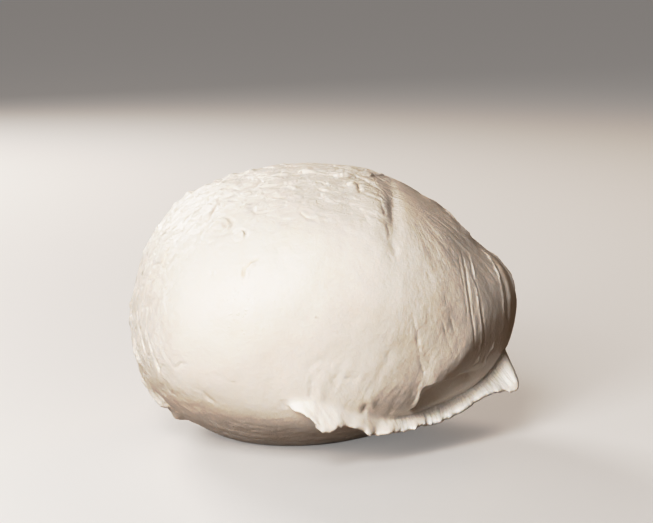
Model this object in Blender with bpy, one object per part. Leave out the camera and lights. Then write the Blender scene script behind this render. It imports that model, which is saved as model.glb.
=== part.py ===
"""Fresh mozzarella ball: one soft, egg-shaped cheese resting on its own flattened spot.

The broad end lies at -X, the narrow end at +X, the front is -Y and +Z is up.
The body is a sphere stretched into an egg, tapered towards the narrow end, marked by
the thumb hollow and the pull creases, and pressed flat where it rests.
Along the lower front a pinched lip stands out as a thin shelf where the ball was torn off.
Places on the body are given by `along`, the distance down the long axis, and `turn`,
the angle round that axis: 0 is the front, 90 the crown, -90 the underside.
"""

import math
from dataclasses import dataclass

import bmesh
import bpy
import numpy as np

MM = 0.001

# Body, metres
HALF_LENGTH = 45.8 * MM
HALF_DEPTH = 38.0 * MM
CROWN_HEIGHT = 30.6 * MM
KEEL_HEIGHT = 34.6 * MM
LENGTH_OFFSET = -0.6 * MM
AXIS_HEIGHT = 34.1 * MM
AXIS_TILT = 1.95 * MM
AXIS_SAG = -5.0 * MM
# Taper of the half-heights as a cubic of the place along the length (-1 broad, +1 narrow)
CROWN_TAPER = (1.0, -0.13, 0.02, -0.38)
KEEL_TAPER = (1.0, -0.08, 0.04, 0.06)
# The keel passes into the crown over this much of the half-height either side of the axis
WAIST_BLEND = 0.6
BODY_GRID = 24

# Rest spot: the soft ball settles where its weight stands on the board
REST_ALONG = -6.0 * MM
REST_SPREAD = 24.0 * MM
REST_SETTLE = 1.4 * MM

# Pinched lip
LIP_ALONG = (-8.5 * MM, 42.9 * MM)
LIP_STATIONS = 92
LIP_RING = 14
LIP_BURY = 5.0 * MM
LIP_ROOT_HALF = 1.8 * MM
LIP_EDGE_HALF = 0.95 * MM
LIP_SQUARENESS = 0.7
LIP_END_ROUND = 0.022
LIP_END_SIZE = 0.55
RIB_COUNT = 29
RIB_SWELL = 0.10
# Turn of the seam that the lip grows from, degrees, at places along it
SEAM_TURN = (
    (0.00, -28.5),
    (0.10, -28.8),
    (0.20, -32.8),
    (0.30, -37.2),
    (0.40, -43.4),
    (0.50, -50.6),
    (0.60, -57.2),
    (0.70, -61.3),
    (0.80, -64.7),
    (0.90, -67.9),
    (1.00, -71.0),
)
# How far the lip stands out at places along it
LIP_REACH = (
    (0.00, 1.6 * MM),
    (0.05, 2.9 * MM),
    (0.10, 4.8 * MM),
    (0.15, 5.2 * MM),
    (0.20, 3.7 * MM),
    (0.25, 3.0 * MM),
    (0.30, 3.3 * MM),
    (0.36, 4.1 * MM),
    (0.45, 4.5 * MM),
    (0.55, 6.0 * MM),
    (0.65, 7.1 * MM),
    (0.78, 7.5 * MM),
    (0.90, 7.1 * MM),
    (1.00, 8.6 * MM),
)
# Degrees that the shelf is turned up from the skin's own normal
LIP_TILT = (
    (0.00, 0.0),
    (0.05, -8.0),
    (0.10, -28.0),
    (0.15, -22.0),
    (0.20, -8.0),
    (0.30, 4.0),
    (0.38, 0.0),
    (0.46, 28.0),
    (0.60, 52.0),
    (0.85, 62.0),
    (1.00, 34.0),
)
# Shift of the edge back along the seam, for each unit of reach
LIP_LEAN = (
    (0.00, -0.20),
    (0.05, -0.40),
    (0.15, -0.36),
    (0.25, 0.0),
    (0.35, 0.34),
    (0.45, 0.72),
    (0.55, 0.76),
    (0.70, 0.55),
    (0.80, 0.40),
    (0.90, 0.36),
    (1.00, 0.75),
)
LIP_FULLNESS = ((0.00, 0.35), (0.22, 1.0), (1.00, 1.0))

CREASE_ANGLE = math.radians(38.0)
MERGE_DISTANCE = 0.00004
# Steps used to find the tangents of the skin
ALONG_STEP = 0.01 * MM
TURN_STEP = 0.01

CHEESE_COLOUR = (0.89, 0.85, 0.79, 1.0)
CHEESE_ROUGHNESS = 0.42
CHEESE_METALLIC = 0.0


@dataclass(frozen=True)
class Dent:
    """A hollow pressed into the skin, or a swelling where the depth is negative."""

    along: float
    turn: float
    heading: float
    half_length: float
    half_width: float
    depth: float


LOWER_FRONT = Dent(4.0 * MM, -36.0, 0.0, 26.0 * MM, 12.0 * MM, -3.4 * MM)
THUMB_HOLLOW = Dent(28.0 * MM, -41.5, 12.0, 7.5 * MM, 5.2 * MM, 3.4 * MM)
HOLLOW_BROW = Dent(22.4 * MM, -37.0, 80.0, 7.0 * MM, 1.9 * MM, -0.7 * MM)
SHELF_BROW = Dent(29.0 * MM, -22.0, 35.0, 10.0 * MM, 4.5 * MM, -1.2 * MM)
CROWN_CREASE = Dent(16.0 * MM, 57.0, 90.0, 11.0 * MM, 1.9 * MM, 0.8 * MM)
CREASE_SHOULDER = Dent(11.5 * MM, 60.0, 90.0, 12.0 * MM, 4.0 * MM, -0.5 * MM)
BLISTER_PIT = Dent(-23.6 * MM, 49.0, 0.0, 2.6 * MM, 2.6 * MM, 0.7 * MM)
SKIN_FOLD = Dent(-38.2 * MM, -63.0, -30.0, 8.0 * MM, 2.4 * MM, -1.1 * MM)
FOLD_GAP = Dent(-29.0 * MM, -72.0, -30.0, 4.0 * MM, 3.0 * MM, 0.4 * MM)
NARROW_SHOULDER = Dent(40.5 * MM, 72.0, 0.0, 6.0 * MM, 8.0 * MM, -1.3 * MM)
DENTS = (
    LOWER_FRONT,
    THUMB_HOLLOW,
    HOLLOW_BROW,
    SHELF_BROW,
    CROWN_CREASE,
    CREASE_SHOULDER,
    BLISTER_PIT,
    SKIN_FOLD,
    FOLD_GAP,
    NARROW_SHOULDER,
)
DENT_REACH_INWARD = 14.0 * MM


def clear_scene():
    """Remove every object so the part is built alone."""
    for item in list(bpy.data.objects):
        bpy.data.objects.remove(item, do_unlink=True)


def normalised(vectors):
    """Scale each row to unit length."""
    return vectors / np.linalg.norm(vectors, axis=-1, keepdims=True)


def cubic(coefficients, value):
    """Value of a polynomial given from its constant term upwards."""
    return sum(factor * value**power for power, factor in enumerate(coefficients))


def ease(share):
    """Smooth step from 0 to 1, flat beyond both ends."""
    held = np.clip(share, 0.0, 1.0)
    return held * held * (3.0 - 2.0 * held)


def egg(directions):
    """Point of the unmarked egg for each unit direction."""
    place = directions[:, 0]
    crown = cubic(CROWN_TAPER, place)
    keel = cubic(KEEL_TAPER, place)
    side = HALF_DEPTH * (crown + keel) / 2.0
    upper = ease((directions[:, 2] / WAIST_BLEND + 1.0) / 2.0)
    half_height = KEEL_HEIGHT * keel + (CROWN_HEIGHT * crown - KEEL_HEIGHT * keel) * upper
    axis = AXIS_HEIGHT + AXIS_TILT * place + AXIS_SAG * place**2
    x = LENGTH_OFFSET + HALF_LENGTH * place
    y = side * directions[:, 1]
    z = axis + half_height * directions[:, 2]
    return np.stack((x, y, z), axis=-1)


def direction_at(along, turn):
    """Unit directions for places given by distance along the axis and turn in degrees."""
    place = np.asarray(along) / HALF_LENGTH
    angle = np.radians(turn)
    girth = np.sqrt(1.0 - place**2)
    return np.stack((place, -girth * np.cos(angle), girth * np.sin(angle)), axis=-1)


def frame_at(along, turn):
    """Point, outward normal, and the tangents along the axis and round it."""
    point = egg(direction_at(along, turn))
    down_axis = egg(direction_at(along + ALONG_STEP, turn)) - point
    round_axis = egg(direction_at(along, turn + TURN_STEP)) - point
    lengthwise = normalised(down_axis)
    normal = normalised(np.cross(down_axis, round_axis))
    around = np.cross(normal, lengthwise)
    return point, normal, lengthwise, around


def dent_offset(points, dent):
    """Movement of each point caused by one dent."""
    along = np.array((dent.along,))
    turn = np.array((dent.turn,))
    centre, normal, lengthwise, around = (row[0] for row in frame_at(along, turn))
    heading = math.radians(dent.heading)
    long_side = math.cos(heading) * lengthwise + math.sin(heading) * around
    short_side = np.cross(normal, long_side)
    offset = points - centre
    spread = (offset @ long_side / dent.half_length) ** 2
    spread += (offset @ short_side / dent.half_width) ** 2
    spread += (offset @ normal / DENT_REACH_INWARD) ** 2
    return -dent.depth * np.exp(-spread)[:, None] * normal


def settle(points):
    """Press the underside flat where the ball rests."""
    settled = points.copy()
    distance = np.hypot(points[:, 0] - REST_ALONG, points[:, 1])
    sink = REST_SETTLE * np.exp(-((distance / REST_SPREAD) ** 4))
    below_axis = points[:, 2] < AXIS_HEIGHT
    settled[:, 2] -= np.where(below_axis, sink, 0.0) * (1.0 - points[:, 2] / AXIS_HEIGHT)
    settled[:, 2] = np.maximum(settled[:, 2], 0.0)
    return settled


def body_points(directions):
    """Points of the marked and settled body for unit directions."""
    points = egg(directions)
    movement = sum(dent_offset(points, dent) for dent in DENTS)
    return settle(points + movement)


def blend(stations, places):
    """Smooth values between (place, value) stations."""
    knots = np.array([station[0] for station in stations])
    values = np.array([station[1] for station in stations])
    span = np.clip(np.searchsorted(knots, places, side="right") - 1, 0, len(knots) - 2)
    share = (places - knots[span]) / (knots[span + 1] - knots[span])
    return values[span] + (values[span + 1] - values[span]) * ease(share)


def add_body():
    """Build the egg from a cube grid rounded to a sphere, then shaped."""
    mesh = bmesh.new()
    bmesh.ops.create_cube(mesh, size=2.0)
    bmesh.ops.subdivide_edges(mesh, edges=mesh.edges, cuts=BODY_GRID - 1, use_grid_fill=True)
    grid = np.array([vertex.co[:] for vertex in mesh.verts])
    directions = normalised(np.tan(grid * math.pi / 4.0))
    for vertex, point in zip(mesh.verts, body_points(directions)):
        vertex.co = point
    bmesh.ops.triangulate(mesh, faces=mesh.faces)
    return mesh_object("mozzarella_ball", mesh)


def seam_roots(places):
    """Points of the seam on the full lower front, and the skin's normals there."""
    along = LIP_ALONG[0] + (LIP_ALONG[1] - LIP_ALONG[0]) * places
    turn = np.interp(places, *np.array(SEAM_TURN).T)
    root, normal, _, _ = frame_at(along, turn)
    return root + dent_offset(root, LOWER_FRONT), normal


def lip_frames():
    """Root point, direction to the edge and thickness direction at even steps along the seam."""
    places = np.linspace(0.0, 1.0, LIP_STATIONS)
    root, normal = seam_roots(places)
    tangent = normalised(np.gradient(root, axis=0))
    upward = normalised(np.cross(normal, tangent))
    upward *= np.sign(upward[:, 2:3])
    tilt = np.radians(blend(LIP_TILT, places))[:, None]
    outward = np.cos(tilt) * normal + np.sin(tilt) * upward
    upper_side = np.cos(tilt) * upward - np.sin(tilt) * normal
    edgeward = outward - blend(LIP_LEAN, places)[:, None] * tangent
    return places, root, edgeward, upper_side


def lip_section(reach, swell):
    """Outward and thickness offsets round one rounded-slab section."""
    angles = np.linspace(0.0, 2.0 * math.pi, LIP_RING, endpoint=False)
    wide = np.sign(np.cos(angles)) * np.abs(np.cos(angles)) ** LIP_SQUARENESS
    thick = np.sign(np.sin(angles)) * np.abs(np.sin(angles)) ** LIP_SQUARENESS
    out = (reach - LIP_BURY) / 2.0 + (reach + LIP_BURY) / 2.0 * wide
    share = (wide + 1.0) / 2.0
    half = LIP_ROOT_HALF + (LIP_EDGE_HALF - LIP_ROOT_HALF) * share
    return out, half * thick * (1.0 + swell * share)


def lip_rings():
    """Rings of points along the ribbed lip."""
    places, root, edgeward, upper_side = lip_frames()
    fullness = blend(LIP_FULLNESS, places)
    margin = np.minimum(np.minimum(places, 1.0 - places) / LIP_END_ROUND, 1.0)
    rounding = LIP_END_SIZE + (1.0 - LIP_END_SIZE) * np.sqrt(1.0 - (1.0 - margin) ** 2)
    reach = blend(LIP_REACH, places) * rounding
    swell = RIB_SWELL * np.cos(2.0 * math.pi * RIB_COUNT * places)
    rings = []
    for index in range(LIP_STATIONS):
        out, thick = lip_section(reach[index], swell[index])
        lift = (thick * fullness[index] * rounding[index])[:, None]
        rings.append(root[index] + out[:, None] * edgeward[index] + lift * upper_side[index])
    return rings


def add_lip():
    """Build the pinched lip as a closed loft of its rings."""
    mesh = bmesh.new()
    rings = [[mesh.verts.new(point) for point in ring] for ring in lip_rings()]
    for first, second in zip(rings, rings[1:]):
        for index in range(LIP_RING):
            after = (index + 1) % LIP_RING
            mesh.faces.new((first[index], first[after], second[after], second[index]))
    mesh.faces.new(list(reversed(rings[0])))
    mesh.faces.new(rings[-1])
    bmesh.ops.triangulate(mesh, faces=mesh.faces)
    bmesh.ops.recalc_face_normals(mesh, faces=mesh.faces)
    return mesh_object("pinched_lip", mesh)


def mesh_object(name, mesh):
    """Turn a bmesh into a linked scene object."""
    data = bpy.data.meshes.new(name)
    mesh.to_mesh(data)
    mesh.free()
    item = bpy.data.objects.new(name, data)
    bpy.context.scene.collection.objects.link(item)
    return item


def join_lip(body, lip):
    """Grow the lip into the body so the two are one closed solid."""
    union = body.modifiers.new("grow_lip", "BOOLEAN")
    union.operation = "UNION"
    union.solver = "EXACT"
    union.object = lip
    graph = bpy.context.evaluated_depsgraph_get()
    joined = bpy.data.meshes.new_from_object(body.evaluated_get(graph))
    body.modifiers.remove(union)
    body.data = joined
    bpy.data.objects.remove(lip, do_unlink=True)


def clean_up(body):
    """Merge coincident points, keep the rest spot flat and shade the skin smooth."""
    mesh = bmesh.new()
    mesh.from_mesh(body.data)
    bmesh.ops.remove_doubles(mesh, verts=mesh.verts, dist=MERGE_DISTANCE)
    bmesh.ops.triangulate(mesh, faces=mesh.faces)
    mesh.to_mesh(body.data)
    mesh.free()
    body.data.shade_smooth()
    body.data.set_sharp_from_angle(angle=CREASE_ANGLE)


def cheese_material():
    """Moist, milky white cheese."""
    material = bpy.data.materials.new("fresh_cheese")
    material.use_nodes = True
    shader = material.node_tree.nodes["Principled BSDF"]
    shader.inputs["Base Color"].default_value = CHEESE_COLOUR
    shader.inputs["Roughness"].default_value = CHEESE_ROUGHNESS
    shader.inputs["Metallic"].default_value = CHEESE_METALLIC
    return material


def main():
    """Build the ball."""
    clear_scene()
    body = add_body()
    join_lip(body, add_lip())
    clean_up(body)
    body.data.materials.clear()
    body.data.materials.append(cheese_material())


main()
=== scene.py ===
"""Looks of a fresh, hand-pinched mozzarella ball.

The ball lies on its side: broad end at -X, narrow end at +X, front at -Y, up is +Z.
Its skin is one mesh. An egg and the pinched lip are joined, marked by named hollows,
creases and blisters, and given its folds, pull fibres and ribs by Geometry Nodes that
follow flow coordinates kept on the mesh. One patch at the front is wetter than the rest.

Places on the ball are given by `along`, millimetres down the long axis, and `turn`,
degrees round that axis: 0 is the front, 90 the crown, 180 the back, -90 the underside.
"""

from __future__ import annotations

import logging
import math
from dataclasses import dataclass, field, fields
from enum import Enum
from functools import reduce
from typing import ClassVar

import bpy
import numpy as np
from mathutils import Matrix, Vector


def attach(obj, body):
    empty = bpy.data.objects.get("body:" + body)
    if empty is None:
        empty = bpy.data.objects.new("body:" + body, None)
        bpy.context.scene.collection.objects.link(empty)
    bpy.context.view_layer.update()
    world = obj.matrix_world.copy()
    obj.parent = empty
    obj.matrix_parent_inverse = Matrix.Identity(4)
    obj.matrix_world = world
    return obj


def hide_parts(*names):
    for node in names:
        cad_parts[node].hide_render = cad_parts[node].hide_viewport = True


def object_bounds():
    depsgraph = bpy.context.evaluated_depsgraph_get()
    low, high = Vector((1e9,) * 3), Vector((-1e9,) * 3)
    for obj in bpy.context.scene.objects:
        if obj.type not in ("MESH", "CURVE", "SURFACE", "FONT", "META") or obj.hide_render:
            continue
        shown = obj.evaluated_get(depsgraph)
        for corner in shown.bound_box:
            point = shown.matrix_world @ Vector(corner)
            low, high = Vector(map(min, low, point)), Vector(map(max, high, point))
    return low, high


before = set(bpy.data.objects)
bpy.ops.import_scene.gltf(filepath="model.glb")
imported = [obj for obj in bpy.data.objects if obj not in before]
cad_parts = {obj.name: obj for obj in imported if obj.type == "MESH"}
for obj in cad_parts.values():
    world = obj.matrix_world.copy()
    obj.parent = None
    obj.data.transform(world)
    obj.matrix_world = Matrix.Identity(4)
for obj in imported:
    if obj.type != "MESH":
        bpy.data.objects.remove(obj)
CAD_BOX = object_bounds()

LOG = logging.getLogger("mozzarella")
NODE = "mozzarella_ball"
BODY = "root"
DESIGN_HEIGHT = 64.75
# One millimetre of the design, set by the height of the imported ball
MM = (CAD_BOX[1][2] - CAD_BOX[0][2]) / DESIGN_HEIGHT

Array = np.ndarray
Mesh = bpy.types.Mesh
Item = bpy.types.Object
Socket = bpy.types.NodeSocket
Place = tuple[float, float]  # (along, turn)
Span = tuple[float, float]  # (start, end)
Stations = tuple[tuple[float, float], ...]  # (place, value) or (along, turn) pairs
Colour = tuple[float, float, float]

# Plane waves that make one pattern of wander(), and the spread of their sizes
WAVES = 9
WAVE_SIZES = (0.7, 1.6)
# How a crease changes along its length: sizes of the patterns in mm, their seeds, and shares
WIDTH_AT_ENDS = 0.55
WIDTH_CHANGE = 0.3
WIDTH_PATTERN = (4.0, 21)
STRENGTH_CHANGE = 0.45
STRENGTH_LOSS = 0.25
STRENGTH_LIMITS = (0.1, 1.3)
STRENGTH_PATTERN = (5.0, 22)
SWAY_SEEDS = (11, 12, 13)
# How far from its path a crease is looked for, in widths
CREASE_REACH = 4.0
# Slope of a step either side of its path, and how far the layer sinks back, in widths
STEP_SLOPE = 0.35
STEP_TAIL = 3.0
# Stations of the seam that points are measured against
SEAM_STEPS = 160
# Vertices that would move by less than this share stay out of the smoothing
LEAST_MOVE = 0.002


def unit(vectors: Array) -> Array:
    """Scale each row to unit length."""
    return vectors / np.maximum(np.linalg.norm(vectors, axis=-1, keepdims=True), 1e-12)


def ease(share: Array) -> Array:
    """Smooth step from 0 to 1, flat beyond both ends."""
    held = np.clip(share, 0.0, 1.0)
    return held * held * (3.0 - 2.0 * held)


def ramp(value: Array, start: float, end: float) -> Array:
    """Smooth step of a value from 0 at start to 1 at end."""
    return ease((value - start) / (end - start))


def blend(stations: Stations, places: Array) -> Array:
    """Read a smooth profile given by stations.

    Args:
        stations: (place, value) pairs in rising order of place.
        places: Where the profile is wanted.

    Returns:
        One value for each place, eased between its two stations.
    """
    knots, values = np.array(stations).T
    span = np.clip(np.searchsorted(knots, places, side="right") - 1, 0, len(knots) - 2)
    share = (places - knots[span]) / (knots[span + 1] - knots[span])
    return values[span] + (values[span + 1] - values[span]) * ease(share)


def wander(points: Array, size: float, seed: int) -> Array:
    """Smooth random value at points in space, from plane waves in fixed random directions.

    Args:
        points: Points, mm.
        size: Typical distance between a rise and the next, mm.
        seed: Choice of the pattern.

    Returns:
        One value for each point, mostly between -1 and 1.
    """
    chance = np.random.default_rng(seed)
    directions = unit(chance.normal(size=(WAVES, 3)))
    paces = 2.0 * math.pi / (size * chance.uniform(*WAVE_SIZES, size=WAVES))
    starts = chance.uniform(0.0, 2.0 * math.pi, size=WAVES)
    waves = np.sin((points @ directions.T) * paces + starts)
    return waves.sum(axis=1) / math.sqrt(WAVES)


# ---------------------------------------------------------------------------- form


@dataclass(frozen=True)
class BallForm:
    """The unmarked egg: an ellipsoid tapered towards its narrow end. Lengths in mm."""

    half_length: float = 45.8
    half_depth: float = 38.0
    crown_height: float = 30.6
    keel_height: float = 34.6
    length_offset: float = -0.6
    axis_height: float = 34.1
    axis_tilt: float = 1.95
    axis_sag: float = -5.0
    crown_taper: tuple[float, ...] = (1.0, -0.13, 0.02, -0.38)
    keel_taper: tuple[float, ...] = (1.0, -0.08, 0.04, 0.06)
    waist_blend: float = 0.6

    def sections(self, place: Array) -> tuple[Array, Array, Array, Array]:
        """Size the cross-sections.

        Args:
            place: Position along the axis, -1 at the broad end to +1 at the narrow end.

        Returns:
            Height of the axis, half-depth, crown half-height and keel half-height.
        """
        crown = sum(factor * place**power for power, factor in enumerate(self.crown_taper))
        keel = sum(factor * place**power for power, factor in enumerate(self.keel_taper))
        axis = self.axis_height + self.axis_tilt * place + self.axis_sag * place**2
        side = self.half_depth * (crown + keel) / 2.0
        return axis, side, self.crown_height * crown, self.keel_height * keel

    def half_height(self, crown: Array, keel: Array, lift: Array) -> Array:
        """Half-height at a share of the way up, with the keel easing into the crown."""
        return keel + (crown - keel) * ease((lift / self.waist_blend + 1.0) / 2.0)

    def points(self, directions: Array) -> Array:
        """Find points of the egg.

        Args:
            directions: Unit directions from its axis.

        Returns:
            A point for each direction, mm.
        """
        place = directions[:, 0]
        axis, side, crown, keel = self.sections(place)
        height = axis + self.half_height(crown, keel, directions[:, 2]) * directions[:, 2]
        length = self.length_offset + self.half_length * place
        return np.stack((length, side * directions[:, 1], height), axis=-1)

    def directions(self, points: Array) -> Array:
        """Undo points().

        Args:
            points: Points on or near the egg, mm.

        Returns:
            Their unit directions.
        """
        place = np.clip((points[:, 0] - self.length_offset) / self.half_length, -0.999, 0.999)
        axis, side, crown, keel = self.sections(place)
        across = points[:, 1] / side
        lift = (points[:, 2] - axis) / np.where(points[:, 2] > axis, crown, keel)
        lift = (points[:, 2] - axis) / self.half_height(crown, keel, np.clip(lift, -1.0, 1.0))
        girth = np.sqrt(1.0 - place**2)
        scale = girth / np.maximum(np.hypot(across, lift), 1e-6)
        return np.stack((place, across * scale, lift * scale), axis=-1)

    def direction_at(self, along: Array, turn: Array) -> Array:
        """Turn places on the ball into directions.

        Args:
            along: Places along the axis, mm.
            turn: Angles round it, degrees.

        Returns:
            Unit directions.
        """
        place = np.asarray(along, dtype=float) / self.half_length
        angle = np.radians(turn)
        girth = np.sqrt(1.0 - place**2)
        return np.stack((place, -girth * np.cos(angle), girth * np.sin(angle)), axis=-1)

    def frame_at(self, along: Array, turn: Array) -> tuple[Array, Array, Array, Array]:
        """Work out the local axes of the skin.

        Args:
            along: Places along the axis, mm.
            turn: Angles round it, degrees.

        Returns:
            Points, outward normals, and the unit tangents along the axis and round it.
        """
        step = 0.01
        point = self.points(self.direction_at(along, turn))
        down_axis = self.points(self.direction_at(np.asarray(along) + step, turn)) - point
        round_axis = self.points(self.direction_at(along, np.asarray(turn) + step)) - point
        lengthwise = unit(down_axis)
        normal = unit(np.cross(down_axis, round_axis))
        return point, normal, lengthwise, np.cross(normal, lengthwise)

    def axes_at(self, along: float, turn: float) -> tuple[Array, ...]:
        """The same for one place: a point, its normal and its two tangents."""
        return tuple(row[0] for row in self.frame_at(np.array([along]), np.array([turn])))


@dataclass(frozen=True)
class Dent:
    """A soft oval hollow pressed into the skin, or a swelling where depth is negative."""

    along: float
    turn: float
    heading: float
    half_length: float
    half_width: float
    depth: float
    reach_inward: float = 14.0

    def movement(self, form: BallForm, points: Array) -> Array:
        """Press the hollow.

        Args:
            form: The egg.
            points: Points, mm.

        Returns:
            Movement of each point, mm.
        """
        centre, normal, lengthwise, around = form.axes_at(self.along, self.turn)
        heading = math.radians(self.heading)
        long_side = math.cos(heading) * lengthwise + math.sin(heading) * around
        short_side = np.cross(normal, long_side)
        offset = points - centre
        spread = (offset @ long_side / self.half_length) ** 2
        spread += (offset @ short_side / self.half_width) ** 2
        spread += (offset @ normal / self.reach_inward) ** 2
        return -self.depth * np.exp(-spread)[:, None] * normal


@dataclass(frozen=True)
class Settling:
    """The flat spot where the soft ball stands."""

    along: float = -6.0
    spread: float = 24.0
    depth: float = 1.4

    def settle(self, form: BallForm, points: Array) -> Array:
        """Press the underside flat.

        Args:
            form: The egg.
            points: Points of its skin, mm.

        Returns:
            The settled points.
        """
        settled = points.copy()
        distance = np.hypot(points[:, 0] - self.along, points[:, 1])
        sink = self.depth * np.exp(-((distance / self.spread) ** 4))
        lower = np.clip(1.0 - points[:, 2] / form.axis_height, 0.0, 1.0)
        settled[:, 2] -= np.where(points[:, 2] < form.axis_height, sink, 0.0) * lower
        settled[:, 2] = np.maximum(settled[:, 2], 0.0)
        return settled


class Profile(Enum):
    """Cross-section of a crease."""

    GROOVE = "groove"
    RIDGE = "ridge"
    STEP = "step"


@dataclass(frozen=True)
class Crease:
    """A narrow mark that follows a short path of places on the skin."""

    path: Stations
    width: float
    height: float
    profile: Profile
    fade: float = 3.0
    sway: float = 0.22
    sway_size: float = 4.0
    uneven: float = 1.0

    def route(self, form: BallForm) -> Array:
        """Lay the path on the dented skin, rounded off between its places.

        Args:
            form: The egg.

        Returns:
            Points of the route, mm.
        """
        stations = np.arange(len(self.path), dtype=float)
        places = np.linspace(0.0, len(self.path) - 1.0, 8 * len(self.path))
        along = np.interp(places, stations, [place[0] for place in self.path])
        turn = np.interp(places, stations, [place[1] for place in self.path])
        for _ in range(4):
            along[1:-1] = (along[:-2] + 2.0 * along[1:-1] + along[2:]) / 4.0
            turn[1:-1] = (turn[:-2] + 2.0 * turn[1:-1] + turn[2:]) / 4.0
        return dented(form, form.points(form.direction_at(along, turn)))

    def height_at(self, form: BallForm, points: Array, normals: Array) -> Array:
        """Raise or press the mark.

        Args:
            form: The egg.
            points: Points of the skin, mm.
            normals: Their normals.

        Returns:
            Outward height of the mark at each point, mm.
        """
        route = self.route(form)
        reach = CREASE_REACH * self.width + self.fade
        within = (points > route.min(axis=0) - reach) & (points < route.max(axis=0) + reach)
        near = np.flatnonzero(np.all(within, axis=1))
        heights = np.zeros(len(points))
        if len(near) == 0:
            return heights
        sway = np.stack([wander(points[near], self.sway_size, seed) for seed in SWAY_SEEDS], axis=-1)
        held = points[near] + self.sway * sway
        gap, side, to_end = follow(route, held, normals[near])
        ends = ease(to_end / self.fade)
        width = self.width * (WIDTH_AT_ENDS + (1.0 - WIDTH_AT_ENDS) * ends)
        width = width * (1.0 + WIDTH_CHANGE * self.uneven * wander(held, *WIDTH_PATTERN))
        change = STRENGTH_CHANGE * wander(held, *STRENGTH_PATTERN) - STRENGTH_LOSS
        strength = np.clip(1.0 + self.uneven * change, *STRENGTH_LIMITS) * ends
        if self.profile is Profile.STEP:
            shape = ramp(side / width, -STEP_SLOPE, STEP_SLOPE)
            shape = shape * np.exp(-((gap / (STEP_TAIL * width)) ** 2))
        else:
            shape = np.exp(-((gap / width) ** 2))
        sign = -1.0 if self.profile is Profile.GROOVE else 1.0
        heights[near] = sign * self.height * shape * strength
        return heights


def follow(route: Array, points: Array, normals: Array) -> tuple[Array, Array, Array]:
    """Measure points against a route over the skin.

    Args:
        route: Points of the route, mm.
        points: Points near it, mm.
        normals: Their normals.

    Returns:
        Distance, the same signed by the side, and length of route from the nearest spot to
        the nearer end.
    """
    best = np.full(len(points), np.inf)
    signed = np.zeros(len(points))
    travelled = np.zeros(len(points))
    run = 0.0
    for start, end in zip(route, route[1:]):
        leg = end - start
        length = float(np.linalg.norm(leg))
        share = np.clip((points - start) @ leg / length**2, 0.0, 1.0)
        offset = points - start - share[:, None] * leg
        distance = np.linalg.norm(offset, axis=1)
        side = np.sign(np.einsum("ij,ij->i", np.cross(leg[None, :], normals), offset))
        closer = distance < best
        best = np.where(closer, distance, best)
        signed = np.where(closer, distance * side, signed)
        travelled = np.where(closer, run + share * length, travelled)
        run += length
    return best, signed, np.minimum(travelled, run - travelled)


@dataclass(frozen=True)
class Blister:
    """A burst bubble: a low dome held by a crescent rim that opens to one side."""

    # How far into the ball it reaches, mm, and the crescent: its thin side, gain and turn
    REACH: ClassVar[float] = 6.0
    CRESCENT: ClassVar[tuple[float, float]] = (0.25, 0.75)
    CRESCENT_TURN: ClassVar[Span] = (-0.4, 0.7)
    # The moat round the rim: place in widths of the rim, and height in heights of the rim
    MOAT_PLACE: ClassVar[float] = 1.7
    MOAT_HEIGHT: ClassVar[float] = -0.6
    DOME_SHARE: ClassVar[float] = 0.6

    along: float
    turn: float
    radius: float
    rim_height: float
    dome_height: float
    rim_heading: float
    rim_width: float = 0.45

    def height_at(self, form: BallForm, points: Array) -> Array:
        """Raise the blister.

        Args:
            form: The egg.
            points: Points of the skin, mm.

        Returns:
            Outward height of the blister at each point, mm.
        """
        centre, normal, lengthwise, around = form.axes_at(self.along, self.turn)
        offset = points - centre
        east = offset @ lengthwise
        north = offset @ around
        distance = np.hypot(east, north)
        near = np.exp(-((offset @ normal / self.REACH) ** 2))
        facing = np.cos(np.arctan2(north, east) - math.radians(self.rim_heading))
        crescent = self.CRESCENT[0] + self.CRESCENT[1] * ramp(facing, *self.CRESCENT_TURN)
        beyond = distance - self.radius
        rim = self.rim_height * np.exp(-((beyond / self.rim_width) ** 2))
        moat = np.exp(-(((beyond - self.MOAT_PLACE * self.rim_width) / self.rim_width) ** 2))
        moat = self.MOAT_HEIGHT * self.rim_height * moat
        dome = self.dome_height * np.exp(-((distance / (self.DOME_SHARE * self.radius)) ** 2))
        return near * ((rim + moat) * crescent + dome)


# ---------------------------------------------------------------------------- marks

# Each dent: along, turn, heading, half-length, half-width, and depth or, if negative, height

# The full lower front, which the seam of the lip follows
LOWER_FRONT = Dent(4.0, -36.0, 0.0, 26.0, 12.0, -3.4)

# Broad hollows and swellings, as in the solid
BROAD_DENTS = (
    Dent(29.0, -43.0, 35.0, 6.5, 4.4, 1.0),
    Dent(22.4, -37.0, 80.0, 7.0, 1.9, -0.7),
    Dent(16.0, 57.0, 90.0, 11.0, 1.9, 0.65),
    Dent(11.5, 60.0, 90.0, 12.0, 4.0, -0.5),
    Dent(-38.2, -63.0, -30.0, 8.0, 2.2, -0.9),
    Dent(-29.0, -72.0, -30.0, 4.0, 3.0, 0.4),
    Dent(40.5, 72.0, 0.0, 6.0, 8.0, -1.3),
    LOWER_FRONT,
    Dent(29.0, -22.0, 35.0, 10.0, 4.5, -1.2),
    Dent(31.0, 98.0, -35.0, 9.0, 5.0, 0.7),
)


def dented(form: BallForm, points: Array) -> Array:
    """Carry points of the egg to the skin with its broad dents and the thumb hollow."""
    movement = sum(dent.movement(form, points) for dent in BROAD_DENTS)
    return points + movement + ThumbHollow().movement(form, points)


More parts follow.
